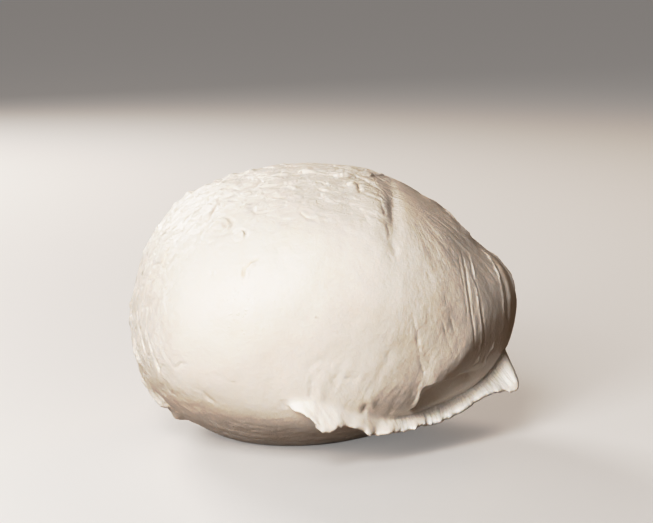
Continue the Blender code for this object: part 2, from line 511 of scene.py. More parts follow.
# Small lumps and pits
SMALL_DENTS = (
    Dent(-25.0, 26.0, 0.0, 0.5, 0.5, 0.35),
    Dent(-24.0, 26.5, 0.0, 0.5, 0.5, -0.3),
    Dent(-15.8, 27.0, 20.0, 0.9, 0.7, -0.5),
    Dent(-16.8, 24.0, 0.0, 0.6, 0.9, -0.3),
    Dent(6.4, 67.0, 90.0, 1.6, 0.9, -0.7),
    Dent(0.3, 67.0, 0.0, 0.5, 0.5, 0.5),
    Dent(8.3, -33.5, 80.0, 1.3, 0.7, 0.45),
    Dent(-7.7, 44.0, 0.0, 1.6, 1.1, 0.22),
    Dent(-26.5, 50.5, 0.0, 1.2, 0.9, -0.35),
    Dent(-21.5, 68.0, 0.0, 1.9, 0.9, -0.4),
    Dent(-34.2, -72.0, -35.0, 1.9, 1.2, -1.3),
    Dent(-30.0, 61.0, 60.0, 1.4, 0.8, -0.35),
    Dent(-42.1, 77.0, 80.0, 1.3, 0.8, -0.4),
    Dent(-38.9, 77.0, 80.0, 1.4, 0.9, -0.6),
    Dent(-35.1, 92.0, 70.0, 1.6, 0.9, -0.5),
    Dent(-31.9, 93.0, 80.0, 1.8, 1.2, -0.65),
    Dent(-27.8, 90.0, 70.0, 1.8, 0.9, -0.4),
    Dent(-25.5, 95.0, 80.0, 1.6, 1.0, -0.5),
    Dent(-22.0, 96.0, 80.0, 1.8, 1.2, -0.5),
    Dent(-17.1, 92.0, 80.0, 1.6, 1.0, -0.5),
)

# Burst bubbles: along, turn, radius, heights of rim and dome, heading and width of the rim
BLISTERS = (
    Blister(-23.2, 48.0, 2.1, 0.75, 0.35, 35.0),
    Blister(-25.9, 44.0, 1.3, 0.26, 0.2, 220.0),
    Blister(-18.9, 41.0, 1.1, 0.65, 0.25, 60.0, 0.35),
)

GROOVE = Profile.GROOVE
RIDGE = Profile.RIDGE
STEP = Profile.STEP

# Each crease: path, width, height, profile, and where they are not the usual: the fade at
# its ends, its sway, the size of the sway and its unevenness

# Cracks in the top layer of skin; shade is also painted into them as darker curd colour
CRACKS = (
    # Upper left: torn edges round the blisters
    Crease(((-17.3, 62.0), (-20.0, 62.5), (-22.9, 64.0), (-24.8, 62.0), (-25.3, 57.0), (-28.6, 49.0)),
           0.36, 0.55, GROOVE),
    Crease(((-8.7, 50.0), (-10.3, 52.0), (-12.5, 51.0), (-14.8, 51.0), (-16.8, 57.0), (-19.0, 61.0)),
           0.36, 0.45, GROOVE),
    Crease(((-20.8, 51.5), (-21.6, 48.0), (-21.4, 44.5)), 0.4, 0.5, GROOVE, 2.0, 0.1),
    Crease(((-34.4, 49.0), (-35.6, 45.0), (-36.5, 39.0), (-35.1, 30.0)), 0.35, 0.5, GROOVE, 2.0),
    Crease(((-39.9, 46.0), (-38.0, 42.0), (-36.5, 40.0)), 0.3, 0.45, GROOVE, 1.5),
    Crease(((-24.3, 74.0), (-22.1, 74.5), (-19.8, 71.0)), 0.4, 0.5, GROOVE, 2.0),
    Crease(((-13.3, 30.5), (-15.2, 29.0), (-17.2, 26.0), (-17.9, 20.0)), 0.4, 0.5, GROOVE, 2.0),
    # Top: short wrinkles
    Crease(((-15.0, 67.0), (-13.5, 68.0), (-8.7, 65.0)), 0.35, 0.4, GROOVE, 2.0),
    Crease(((-12.7, 60.0), (-9.9, 58.5), (-7.5, 56.0)), 0.35, 0.4, GROOVE, 2.0),
    Crease(((-5.6, 50.0), (-3.8, 46.0), (-1.0, 43.0)), 0.4, 0.4, GROOVE, 2.0),
    Crease(((-2.6, 63.5), (-0.5, 62.0), (1.7, 60.0), (4.8, 61.0)), 0.35, 0.4, GROOVE, 2.0),
    Crease(((7.3, 72.0), (8.0, 67.0), (7.7, 61.0)), 0.35, 0.45, GROOVE, 1.5),
)

CREASES = (
    *CRACKS,
    # Crown: edge of the top layer, and the crease that runs down from it
    Crease(((15.0, 94.0), (11.0, 80.0), (6.5, 75.0), (1.3, 73.5), (-3.4, 77.0), (-12.5, 74.0)),
           0.6, 0.65, STEP),
    Crease(((15.4, 90.0), (15.9, 71.0), (15.8, 56.0), (15.2, 38.0)), 1.0, 0.3, GROOVE, 8.0, 0.12),
    Crease(((15.4, 44.0), (15.6, 31.0), (16.8, 24.0)), 0.8, 0.16, GROOVE, 5.0),
    Crease(((4.8, 79.0), (9.3, 74.0), (12.7, 68.0), (15.0, 61.0)), 0.35, 0.2, GROOVE, 3.0, 0.15),
    Crease(((5.8, 57.0), (9.1, 49.0), (10.5, 37.0)), 0.4, 0.12, GROOVE, 4.0, 0.2),
    Crease(((9.3, 69.0), (12.7, 60.0), (14.2, 46.0), (14.6, 35.0)), 0.4, 0.2, GROOVE, 4.0, 0.15),
    Crease(((11.9, 45.0), (13.7, 33.0), (15.8, 24.0)), 0.4, 0.14, GROOVE, 4.0, 0.2),
    # Narrow end: pull grooves with the long ridge between them, and the torn fold at the back
    Crease(((31.1, 56.0), (32.2, 34.0), (32.9, 12.0), (33.4, -6.0), (33.9, -24.0)),
           0.3, 0.28, GROOVE, 7.0, 0.1, 4.0, 0.3),
    Crease(((33.0, 58.0), (34.0, 33.0), (35.4, 12.0), (36.3, -7.0), (36.9, -27.0)),
           0.32, 0.3, GROOVE, 7.0, 0.1, 4.0, 0.3),
    Crease(((33.6, 58.0), (34.3, 29.0), (34.9, 12.0), (35.4, -7.0), (35.7, -31.0)),
           0.28, 0.22, RIDGE, 7.0, 0.06, 4.0, 0.3),
    Crease(((30.4, 50.0), (31.2, 30.0), (31.9, 12.0), (32.2, -4.0)),
           0.26, 0.16, GROOVE, 6.0, 0.1, 4.0, 0.4),
    Crease(((34.6, 80.0), (38.3, 66.0), (40.3, 40.0), (41.3, 16.0), (41.6, -11.0)),
           0.28, 0.36, RIDGE, 5.0, 0.2, 2.0, 0.6),
    Crease(((35.7, 77.0), (39.4, 69.0), (41.5, 45.0), (42.6, 18.0), (43.0, -17.0)),
           0.7, 0.9, GROOVE, 4.0, 0.12, 4.0, 0.4),
    Crease(((37.8, 94.0), (40.6, 91.0), (43.0, 82.0), (44.3, 56.0), (44.9, 30.0)),
           0.45, 0.6, RIDGE, 4.0, 0.1, 4.0, 0.3),
    Crease(((24.0, 101.0), (29.1, 94.0), (31.4, 85.0), (33.7, 80.0), (35.7, 82.0)),
           1.6, 0.8, STEP, 4.0, 0.2, 4.0, 0.3),
    Crease(((27.0, 96.0), (30.6, 83.0), (33.0, 78.0), (35.2, 76.0)), 0.4, 0.3, RIDGE, 3.0, 0.3, 2.0),
    Crease(((19.4, 5.0), (20.5, -5.0), (21.2, -14.0), (22.3, -27.0)), 0.3, 0.22, GROOVE, 4.0, 0.15),
    Crease(((25.8, 3.0), (27.8, -13.0), (29.1, -24.0)), 0.3, 0.14, GROOVE, 4.0, 0.15),
    Crease(((26.6, 18.0), (28.2, 2.0), (29.8, -12.0)), 0.26, 0.16, GROOVE, 4.0, 0.15),
    # Thumb hollow: its sharp near lip, and the fibres that bridge it
    Crease(((21.8, -24.0), (20.4, -36.0), (19.0, -47.0)), 0.55, 0.75, RIDGE, 3.0, 0.1),
    Crease(((21.6, -27.5), (24.3, -28.5), (27.5, -31.5), (31.0, -34.0), (34.5, -35.0)),
           0.7, 0.45, RIDGE, 4.0, 0.15),
    Crease(((36.4, -27.0), (34.0, -33.5), (31.6, -37.5)), 0.3, 0.4, RIDGE, 1.5),
    Crease(((35.0, -33.0), (32.0, -42.0), (29.4, -50.0)), 0.32, 0.45, RIDGE, 2.0),
    Crease(((37.2, -31.0), (34.4, -41.0), (31.8, -50.0)), 0.3, 0.45, RIDGE, 2.0),
    Crease(((39.8, -24.0), (38.0, -33.0), (36.8, -43.0)), 0.32, 0.5, RIDGE, 2.0),
    # Left rim: layer edges along the outline
    Crease(((-45.2, 60.0), (-44.9, 20.0), (-44.6, -2.0), (-43.4, -21.0), (-41.4, -34.0)),
           0.75, 0.75, RIDGE, 3.0),
    Crease(((-43.3, 28.0), (-42.5, 3.0), (-40.9, -14.0), (-39.2, -30.0)), 0.35, 0.45, GROOVE),
    Crease(((-41.0, 22.0), (-40.2, 0.0), (-38.7, -13.0), (-37.3, -24.0)), 0.35, 0.35, GROOVE),
    Crease(((-39.3, -9.0), (-37.8, -19.0), (-36.4, -29.0), (-34.6, -39.0)), 0.4, 0.4, GROOVE),
    Crease(((-42.6, -50.0), (-40.3, -58.0), (-37.5, -61.5), (-33.0, -65.5)), 0.7, 0.65, RIDGE, 2.0, 0.15),
    Crease(((-40.4, -45.0), (-38.6, -54.0), (-35.6, -59.0), (-31.5, -62.5)), 0.4, 0.45, GROOVE),
    Crease(((-36.4, -5.0), (-35.2, -13.0), (-33.9, -17.0), (-32.0, -15.0), (-30.0, -13.0)),
           0.45, 0.26, GROOVE, 2.5),
    Crease(((-24.8, -16.0), (-22.0, -20.5), (-19.6, -21.0), (-18.0, -19.0)), 0.45, 0.18, GROOVE, 2.5),
    Crease(((-28.0, -24.0), (-26.3, -30.0), (-22.7, -34.5)), 0.4, 0.22, GROOVE),
    # Above the lip: soft gathers squeezed up by the pinch
    Crease(((-4.6, -20.0), (-3.2, -14.0), (-0.7, -12.5), (2.4, -15.5)), 0.8, 0.14, GROOVE, 3.0),
    Crease(((-2.2, -16.0), (-3.8, -29.0)), 0.8, 0.16, GROOVE, 3.0),
    Crease(((2.5, -15.5), (2.0, -22.0), (0.7, -31.0)), 0.9, 0.2, GROOVE, 3.0),
    Crease(((0.0, -16.0), (-1.2, -29.0)), 1.1, 0.2, RIDGE, 3.0),
    Crease(((3.0, -20.5), (5.6, -19.0), (7.5, -23.0)), 0.8, 0.14, GROOVE, 2.0),
    Crease(((9.3, -24.0), (10.1, -30.0), (11.0, -37.0)), 0.8, 0.25, RIDGE, 3.0),
    Crease(((15.4, -8.0), (13.7, -15.0), (11.9, -20.0), (9.9, -25.0)), 1.0, 0.16, GROOVE, 4.0),
    Crease(((17.3, -13.0), (15.8, -21.0), (13.3, -29.0)), 1.1, 0.18, RIDGE, 4.0),
    Crease(((16.4, -19.0), (14.6, -26.0)), 0.9, 0.2, GROOVE, 2.5),
    Crease(((17.7, -26.0), (15.4, -33.0), (13.3, -42.0)), 1.0, 0.2, GROOVE, 3.0),
    Crease(((15.6, -37.0), (13.0, -43.0)), 0.8, 0.2, GROOVE, 2.5),
)

# Strips of painted shade, used only as darker curd colour and not pressed in: the narrow facet and the torn
# fold
PAINTED_SHADE_STRIPS = (
    Crease(((25.0, 101.0), (29.5, 98.0), (32.8, 94.0), (35.6, 86.0)),
           2.1, 2.4, RIDGE, 3.0, 0.2, 4.0, 0.3),
    Crease(((36.7, 78.0), (40.4, 68.0), (42.7, 45.0), (43.6, 19.0), (43.9, -17.0)),
           0.9, 0.7, RIDGE, 4.0, 0.2, 4.0, 0.3),
)


# ---------------------------------------------------------------------------- lip


@dataclass(frozen=True)
class Seam:
    """The line that the lip grows from, with the lip's own axes at each station."""

    places: Array
    root: Array
    tangent: Array
    upward: Array
    outward: Array
    upper_side: Array
    lean: Array
    run: Array


@dataclass(frozen=True)
class SeamReading:
    """Where points lie relative to the seam, in mm.

    `run` is counted along the seam, `out` towards the edge of the lip, `above` up the
    skin, `inside` is the depth under the faces of the lip and `gap` the plain distance.
    """

    run: Array
    out: Array
    above: Array
    inside: Array
    gap: Array


@dataclass(frozen=True)
class PinchedLip:
    """The lip left where the ball was torn off: a thin shelf along a seam. Sizes in mm."""

    along: Span = (-8.5, 42.9)
    # Turn of the seam round the ball, degrees, by the share of the way along it
    turn: Stations = (
        (0.00, -28.5), (0.10, -28.8), (0.20, -32.8), (0.30, -37.2), (0.40, -43.4),
        (0.50, -50.6), (0.60, -57.2), (0.70, -61.3), (0.80, -64.7), (0.90, -67.9),
        (1.00, -71.0),
    )
    # Depth of the root inside the ball, and half the thickness there and at the edge
    bury: float = 5.0
    root_half: float = 1.8
    edge_half: float = 0.95
    squareness: float = 0.7
    end_round: float = 0.014
    end_size: float = 0.62
    # Distance of the edge from the seam
    reach: Stations = (
        (0.00, 1.6), (0.05, 2.9), (0.10, 4.8), (0.15, 5.2), (0.20, 3.7), (0.25, 3.0),
        (0.30, 3.3), (0.36, 4.1), (0.45, 4.5), (0.55, 6.0), (0.65, 7.1), (0.78, 7.5),
        (0.90, 7.1), (1.00, 8.6),
    )
    # Degrees that the shelf is turned up from the skin's own normal
    tilt: Stations = (
        (0.00, 0.0), (0.05, -8.0), (0.10, -28.0), (0.15, -22.0), (0.20, -8.0), (0.30, 4.0),
        (0.38, 0.0), (0.46, 28.0), (0.60, 52.0), (0.85, 62.0), (1.00, 34.0),
    )
    # Shift of the edge back along the seam, for each mm of reach
    lean: Stations = (
        (0.00, -0.20), (0.05, -0.40), (0.15, -0.36), (0.25, 0.0), (0.35, 0.34), (0.45, 0.72),
        (0.55, 0.76), (0.70, 0.55), (0.80, 0.40), (0.90, 0.36), (1.00, 0.75),
    )
    # Share of the thickness
    fullness: Stations = ((0.00, 0.35), (0.22, 1.0), (1.00, 1.0))
    # Raggedness of the edge: size, height and seed
    ragged: tuple[tuple[float, float, int], ...] = ((3.2, 0.30, 41), (1.2, 0.16, 42))
    # Distances out between which the lean is counted, and slack past the ends of the seam
    lean_out: Span = (-2.0, 8.0)
    end_slack: float = 0.5

    def seam(self, form: BallForm, count: int) -> Seam:
        """Lay out the seam.

        Args:
            form: The egg that the lip grows from.
            count: How many even steps.

        Returns:
            The seam.
        """
        places = np.linspace(0.0, 1.0, count)
        along = self.along[0] + (self.along[1] - self.along[0]) * places
        turn = np.interp(places, *np.array(self.turn).T)
        root, normal, _, _ = form.frame_at(along, turn)
        root = root + LOWER_FRONT.movement(form, root)
        tangent = unit(np.gradient(root, axis=0))
        upward = unit(np.cross(normal, tangent))
        upward *= np.sign(upward[:, 2:3])
        tilt = np.radians(blend(self.tilt, places))[:, None]
        outward = np.cos(tilt) * normal + np.sin(tilt) * upward
        upper_side = np.cos(tilt) * upward - np.sin(tilt) * normal
        steps = np.linalg.norm(np.diff(root, axis=0), axis=1)
        run = np.concatenate(([0.0], np.cumsum(steps)))
        return Seam(places, root, tangent, upward, outward, upper_side, blend(self.lean, places), run)

    def half_thickness(self, places: Array, out: Array) -> Array:
        """Size the thickness of the lip.

        Args:
            places: Share of the way along the seam.
            out: Distance towards the edge, mm.

        Returns:
            Half the thickness, mm.
        """
        share = np.clip((out + self.bury) / (blend(self.reach, places) + self.bury), 0.0, 1.0)
        half = self.root_half + (self.edge_half - self.root_half) * share
        return half * blend(self.fullness, places) * self.rounding(places)

    def rounding(self, places: Array) -> Array:
        """How far the lip is shrunk as it rounds off at its two ends."""
        margin = np.minimum(np.minimum(places, 1.0 - places) / self.end_round, 1.0)
        return self.end_size + (1.0 - self.end_size) * np.sqrt(1.0 - (1.0 - margin) ** 2)

    def squared(self, shares: Array) -> Array:
        """Push a round section towards a square one."""
        return np.sign(shares) * np.abs(shares) ** self.squareness

    def mesh(self, form: BallForm, stations: int, ring: int) -> Mesh:
        """Loft the lip as a closed mesh.

        Args:
            form: The egg that the lip grows from.
            stations: Sections along the seam.
            ring: Points round one section.

        Returns:
            The closed mesh, in metres.
        """
        seam = self.seam(form, stations)
        reach = blend(self.reach, seam.places)
        line = np.column_stack((seam.run, np.zeros(stations), np.zeros(stations)))
        for size, height, seed in self.ragged:
            reach += height * wander(line, size, seed)
        angles = np.linspace(0.0, 2.0 * math.pi, ring, endpoint=False)
        wide = self.squared(np.cos(angles))
        thick = self.squared(np.sin(angles))
        grown = (reach * self.rounding(seam.places))[:, None]
        out = (grown - self.bury) / 2.0 + (grown + self.bury) / 2.0 * wide[None, :]
        lift = self.half_thickness(seam.places[:, None] + np.zeros_like(out), out) * thick
        edgeward = seam.outward - seam.lean[:, None] * seam.tangent
        points = seam.root[:, None, :] + out[..., None] * edgeward[:, None, :]
        points += lift[..., None] * seam.upper_side[:, None, :]
        rows = np.arange(stations - 1)[:, None] * ring
        columns = np.arange(ring)[None, :]
        after = (columns + 1) % ring
        corners = (rows + columns, rows + after, rows + ring + after, rows + ring + columns)
        quads = np.stack(corners, axis=-1)
        faces = [tuple(quad) for quad in quads.reshape(-1, 4).tolist()]
        faces.append(tuple(reversed(range(ring))))
        faces.append(tuple(range((stations - 1) * ring, stations * ring)))
        return new_mesh("lip_form", points.reshape(-1, 3), faces)

    def read(self, form: BallForm, points: Array) -> SeamReading:
        """Find where points lie relative to the seam.

        Args:
            form: The egg that the lip grows from.
            points: Points, mm.

        Returns:
            The reading, one value for each point.
        """
        seam = self.seam(form, SEAM_STEPS)
        gap = np.full(len(points), np.inf)
        nearest = np.zeros(len(points), dtype=int)
        for index, place in enumerate(seam.root):
            distance = np.linalg.norm(points - place, axis=1)
            closer = distance < gap
            gap = np.where(closer, distance, gap)
            nearest = np.where(closer, index, nearest)
        offset = points - seam.root[nearest]
        out = np.einsum("ij,ij->i", offset, seam.outward[nearest])
        lift = np.einsum("ij,ij->i", offset, seam.upper_side[nearest])
        above = np.einsum("ij,ij->i", offset, seam.upward[nearest])
        slide = np.einsum("ij,ij->i", offset, seam.tangent[nearest])
        run = seam.run[nearest] + slide + seam.lean[nearest] * np.clip(out, *self.lean_out)
        places = np.clip(np.interp(run, seam.run, seam.places), 0.0, 1.0)
        inside = self.half_thickness(places, out) - np.abs(lift)
        past_end = np.maximum(run - seam.run[-1], -run)
        inside = np.minimum(inside, self.end_slack - past_end)
        return SeamReading(run, out, above, inside, gap)


@dataclass(frozen=True)
class SeamValley:
    """The shallow fold that the pinch drew in along the upper side of the lip's root."""

    depth: Stations = (
        (0.00, 0.0), (0.50, 0.1), (0.75, 0.4), (1.00, 0.8),
    )
    width: float = 2.6
    toe: float = 1.2

    def movement(self, form: BallForm, lip: PinchedLip, points: Array) -> Array:
        """Draw the fold in.

        Args:
            form: The egg.
            lip: The lip it runs along.
            points: Points of the egg, mm.

        Returns:
            Movement of each point, mm.
        """
        seam = lip.seam(form, SEAM_STEPS)
        reading = lip.read(form, points)
        share = np.interp(reading.run, seam.run, seam.places)
        past_end = np.maximum(np.maximum(reading.run - seam.run[-1], -reading.run), 0.0)
        shape = ramp(reading.above, -self.toe, self.toe) * np.exp(-((reading.gap / self.width) ** 2))
        shape *= np.exp(-((past_end / self.width) ** 2))
        nearest = np.clip((share * (len(seam.run) - 1)).round().astype(int), 0, len(seam.run) - 1)
        inward = unit(np.array([0.0, 0.0, form.axis_height]) - seam.root)[nearest]
        return (blend(self.depth, share) * shape)[:, None] * inward


@dataclass(frozen=True)
class ThumbHollow:
    """The oval hollow that the thumb left above the lip, with a steep near and upper wall."""

    outline: Stations = (
        (19.2, -44.0), (20.3, -38.0), (21.1, -33.0), (22.1, -30.0), (24.3, -29.5),
        (27.3, -32.5), (30.2, -35.0), (32.9, -36.0), (35.1, -37.0), (36.1, -43.0),
        (34.8, -48.0), (32.0, -50.0), (29.1, -51.0), (26.3, -51.0), (23.2, -50.0),
        (20.5, -48.0),
    )
    middle: Place = (27.0, -42.0)
    depth: float = 3.3
    near_wall: float = 1.4
    far_wall: float = 6.0
    # Distance past the middle over which the wall eases from near to far, mm
    wall_change: Span = (-6.0, 8.0)
    slack: float = 12.0

    def movement(self, form: BallForm, points: Array) -> Array:
        """Press the hollow.

        Args:
            form: The egg.
            points: Points of the egg, mm.

        Returns:
            Movement of each point, mm.
        """
        centre, normal, lengthwise, around = form.axes_at(*self.middle)
        flat = np.stack((lengthwise, around), axis=-1)
        along, turn = np.array(self.outline).T
        rim = (form.points(form.direction_at(along, turn)) - centre) @ flat
        offset = points - centre
        place = offset @ flat
        distance = np.full(len(points), np.inf)
        crossings = np.zeros(len(points), dtype=int)
        for start, end in zip(rim, np.roll(rim, -1, axis=0)):
            leg = end - start
            share = np.clip((place - start) @ leg / (leg @ leg), 0.0, 1.0)
            distance = np.minimum(distance, np.linalg.norm(place - start - share[:, None] * leg, axis=1))
            spans = (start[1] > place[:, 1]) != (end[1] > place[:, 1])
            rise = np.where(abs(leg[1]) > 1e-9, leg[1], 1e-9)
            crossings += spans & (place[:, 0] < start[0] + (place[:, 1] - start[1]) * leg[0] / rise)
        within = np.where(crossings % 2 == 1, distance, -distance)
        far_share = ramp(place[:, 0], *self.wall_change)
        wall = self.near_wall + (self.far_wall - self.near_wall) * far_share
        press = self.depth * ramp(within / wall, -0.35, 1.0)
        press *= np.exp(-((offset @ normal / self.slack) ** 4))
        return -press[:, None] * normal


# ---------------------------------------------------------------------------- meshes


def new_mesh(name: str, points: Array, faces: list[tuple[int, ...]]) -> Mesh:
    """Make a mesh in metres.

    Args:
        name: Its name.
        points: Corners in design millimetres.
        faces: Corner numbers of each face.

    Returns:
        The mesh.
    """
    mesh = bpy.data.meshes.new(name)
    mesh.from_pydata((points * MM).tolist(), [], faces)
    mesh.update()
    return mesh


def read_rows(rows: bpy.types.bpy_prop_collection, name: str, width: int, kind: type = float) -> Array:
    """Read one property of every vertex, edge or face of a mesh.

    Args:
        rows: The vertices, edges or normals.
        name: The property.
        width: How many numbers it holds.
        kind: Kind of number.

    Returns:
        An array with one row for each.
    """
    flat = np.empty(len(rows) * width, dtype=kind)
    rows.foreach_get(name, flat)
    return flat.reshape(-1, width)


def read_points(mesh: Mesh) -> Array:
    """Vertex positions in design millimetres."""
    return read_rows(mesh.vertices, "co", 3) / MM


def read_normals(mesh: Mesh) -> Array:
    """Vertex normals."""
    return read_rows(mesh.vertex_normals, "vector", 3, np.float32).astype(float)


def write_points(mesh: Mesh, points: Array) -> None:
    """Move the vertices to points in design millimetres."""
    mesh.vertices.foreach_set("co", (points * MM).ravel())
    mesh.update()


def keep_value(mesh: Mesh, name: str, values: Array) -> None:
    """Keep one number or one vector for each vertex as a named attribute.

    Args:
        mesh: The mesh.
        name: Name of the attribute.
        values: One number or one row of three for each vertex.
    """
    kind, socket = ("FLOAT", "value") if values.ndim == 1 else ("FLOAT_VECTOR", "vector")
    attribute = mesh.attributes.get(name) or mesh.attributes.new(name, kind, "POINT")
    attribute.data.foreach_set(socket, values.astype(np.float32).ravel())


def show(name: str, mesh: Mesh) -> Item:
    """Link a mesh into the scene.

    Args:
        name: Name of the object.
        mesh: Its mesh.

    Returns:
        The object, at the origin.
    """
    item = bpy.data.objects.new(name, mesh)
    bpy.context.scene.collection.objects.link(item)
    return item


def bake_modifiers(item: Item) -> None:
    """Replace an object's mesh by what its modifiers make, and drop them.

    Args:
        item: The object.
    """
    graph = bpy.context.evaluated_depsgraph_get()
    mesh = bpy.data.meshes.new_from_object(item.evaluated_get(graph))
    item.modifiers.clear()
    old = item.data
    item.data = mesh
    bpy.data.meshes.remove(old)


def join_solids(item: Item, other: Item) -> None:
    """Grow another closed solid into this one and drop it.

    Args:
        item: The object that grows.
        other: The object that is joined to it.
    """
    union = item.modifiers.new("grow", "BOOLEAN")
    union.operation = "UNION"
    union.solver = "MANIFOLD"
    union.object = other
    bake_modifiers(item)
    spare = other.data
    bpy.data.objects.remove(other, do_unlink=True)
    bpy.data.meshes.remove(spare)


def relax(mesh: Mesh, strength: Array, rounds: int) -> None:
    """Smooth a mesh where asked.

    Args:
        mesh: The mesh to smooth.
        strength: How far each vertex moves to its neighbours' mean in one round, 0 to 1.
        rounds: How many rounds.
    """
    points = read_points(mesh)
    edges = read_rows(mesh.edges, "vertices", 2, np.int32)
    edges = edges[np.any(strength[edges] > LEAST_MOVE, axis=1)]
    used, local = np.unique(edges, return_inverse=True)
    first, second = local.reshape(-1, 2).T
    share = strength[used][:, None]
    count = np.bincount(local.ravel(), minlength=len(used))[:, None]
    moved = points[used]
    for _ in range(rounds):
        total = np.zeros_like(moved)
        for axis in range(3):
            total[:, axis] = np.bincount(first, moved[second, axis], len(used))
            total[:, axis] += np.bincount(second, moved[first, axis], len(used))
        moved += (total / count - moved) * share
    points[used] = moved
    write_points(mesh, points)


# ---------------------------------------------------------------------------- node trees


@dataclass
class Bench:
    """Short calls for laying out a geometry or shader node tree.

    Wherever a call takes a value, it may be a plain value or the socket that gives it.
    """

    tree: bpy.types.NodeTree

    def add(self, kind: str, **settings: object) -> bpy.types.Node:
        """Add a node.

        Args:
            kind: Its type.
            **settings: Values of its properties.

        Returns:
            The node.
        """
        node = self.tree.nodes.new(kind)
        for name, value in settings.items():
            setattr(node, name, value)
        return node

    def feed(self, socket: Socket, value: object) -> None:
        """Link a socket to an input, or set the input's value.

        Args:
            socket: The input.
            value: What it gets.
        """
        if isinstance(value, bpy.types.NodeSocket):
            self.tree.links.new(value, socket)
        else:
            socket.default_value = value

    def fed(self, node: bpy.types.Node, inputs: dict[object, object]) -> Socket:
        """Feed several inputs of a node.

        Args:
            node: The node.
            inputs: A value for each input, by its name or number.

        Returns:
            The node's first output.
        """
        for name, value in inputs.items():
            self.feed(node.inputs[name], value)
        return node.outputs[0]

    def math(self, operation: str, *values: object, clamp: bool = False) -> Socket:
        """One Math node."""
        node = self.add("ShaderNodeMath", operation=operation, use_clamp=clamp)
        return self.fed(node, dict(enumerate(values)))

    def vector(self, operation: str, *values: object) -> Socket:
        """One Vector Math node with a vector result."""
        return self.fed(self.add("ShaderNodeVectorMath", operation=operation), dict(enumerate(values)))

    def scaled(self, vector: object, factor: object) -> Socket:
        """A vector times a number."""
        return self.fed(self.add("ShaderNodeVectorMath", operation="SCALE"), {0: vector, "Scale": factor})

    def combine(self, *parts: object) -> Socket:
        """A vector from three numbers."""
        return self.fed(self.add("ShaderNodeCombineXYZ"), dict(enumerate(parts)))

    def noise(self, vector: object, scale: object, detail: float, rough: float,
              warp: float = 0.0) -> Socket:
        """Read a noise.

        Args:
            vector: Where it is read.
            scale: Cells for each unit of the vector.
            detail: Octaves.
            rough: Share of each octave in the next.
            warp: Distortion.

        Returns:
            Its value, 0 to 1.
        """
        pattern = {"Detail": detail, "Roughness": rough, "Distortion": warp}
        return self.fed(self.add("ShaderNodeTexNoise"), {"Vector": vector, "Scale": scale, **pattern})

    def step(self, value: object, start: float, end: float) -> Socket:
        """Smooth step of a value from 0 at start to 1 at end."""
        node = self.add("ShaderNodeMapRange", interpolation_type="SMOOTHSTEP")
        return self.fed(node, {"Value": value, "From Min": start, "From Max": end})

    def total(self, *values: object) -> Socket:
        """Sum of several numbers."""
        return reduce(lambda first, second: self.math("ADD", first, second), values)

    def product(self, *values: object) -> Socket:
        """Product of several numbers."""
        return reduce(lambda first, second: self.math("MULTIPLY", first, second), values)


@dataclass
class ShapeTree(Bench):
    """A Geometry Nodes tree with named inputs."""

    start: bpy.types.Node = field(init=False)

    def __post_init__(self) -> None:
        """Give the tree its geometry sockets and its input node."""
        for way in ("OUTPUT", "INPUT"):
            self.tree.interface.new_socket("Geometry", in_out=way, socket_type="NodeSocketGeometry")
        self.start = self.tree.nodes.new("NodeGroupInput")

    def size(self, name: str, kind: str = "NodeSocketFloat") -> Socket:
        """Add a named input and hand back its socket."""
        self.tree.interface.new_socket(name, in_out="INPUT", socket_type=kind)
        return self.given(name)

    def given(self, name: str) -> Socket:
        """The socket of a named input."""
        return self.start.outputs[name]

    def attribute(self, name: str, kind: str = "FLOAT") -> Socket:
        """Read a named attribute."""
        node = self.add("GeometryNodeInputNamedAttribute", data_type=kind)
        return self.fed(node, {"Name": name})

    def finish(self, geometry: Socket, material: Socket) -> None:
        """End the tree: realize instances, then set the material.

        Args:
            geometry: What the tree has made.
            material: Its material.
        """
        realized = self.fed(self.add("GeometryNodeRealizeInstances"), {0: geometry})
        dress = self.add("GeometryNodeSetMaterial")
        dressed = self.fed(dress, {"Geometry": realized, "Material": material})
        self.feed(self.add("NodeGroupOutput").inputs[0], dressed)


@dataclass
class ReliefTree(ShapeTree):
    """A tree whose named sizes are read as cells of noise, all moved on by the seed."""

    def moved_on(self, place: Socket) -> Socket:
        """Move a place on by the seed."""
        seed = self.given("Seed")
        return self.vector("ADD", place, self.combine(seed, seed, 0.0))

    def over(self, name: str) -> Socket:
        """One divided by a named size."""
        return self.math("DIVIDE", 1.0, self.given(name))

    def along_flow(self, flow: str, *stretch: object) -> Socket:
        """A flow attribute measured in cells, by the stretch of its three parts."""
        place = self.attribute(flow, "FLOAT_VECTOR")
        return self.moved_on(self.vector("MULTIPLY", place, self.combine(*stretch)))

    def in_space(self, size: str) -> Socket:
        """The position measured in cells of a named size.

        Args:
            size: Name of the size, mm.

        Returns:
            The place in cells.
        """
        position = self.add("GeometryNodeInputPosition").outputs[0]
        cell = self.product(self.given(size), self.given("Millimetre"))
        return self.moved_on(self.scaled(position, self.math("DIVIDE", 1.0, cell)))

    def uneven(self, place: Socket, detail: float, rough: float, warp: float = 0.0) -> Socket:
        """Noise about zero, -0.5 to 0.5."""
        return self.math("SUBTRACT", self.noise(place, 1.0, detail, rough, warp), 0.5)

    def raised(self, relief: Socket, share: str, height: str) -> Socket:
        """A relief times the share kept under a name and the height given under a name."""
        return self.product(self.attribute(share), self.given(height), relief)


def apply_tree(item: Item, tree: bpy.types.NodeTree, values: dict[str, object]) -> None:
    """Run a Geometry Nodes tree on an object and keep the result as its plain mesh.

    Args:
        item: The object.
        tree: The tree.
        values: A value for each named input.
    """
    modifier = item.modifiers.new(tree.name, "NODES")
    modifier.node_group = tree
    sockets = tree.interface.items_tree
    names = {socket.name: socket.identifier for socket in sockets if socket.in_out == "INPUT"}
    for name, value in values.items():
        modifier[names[name]] = value
    bake_modifiers(item)


# ---------------------------------------------------------------------------- skin flow


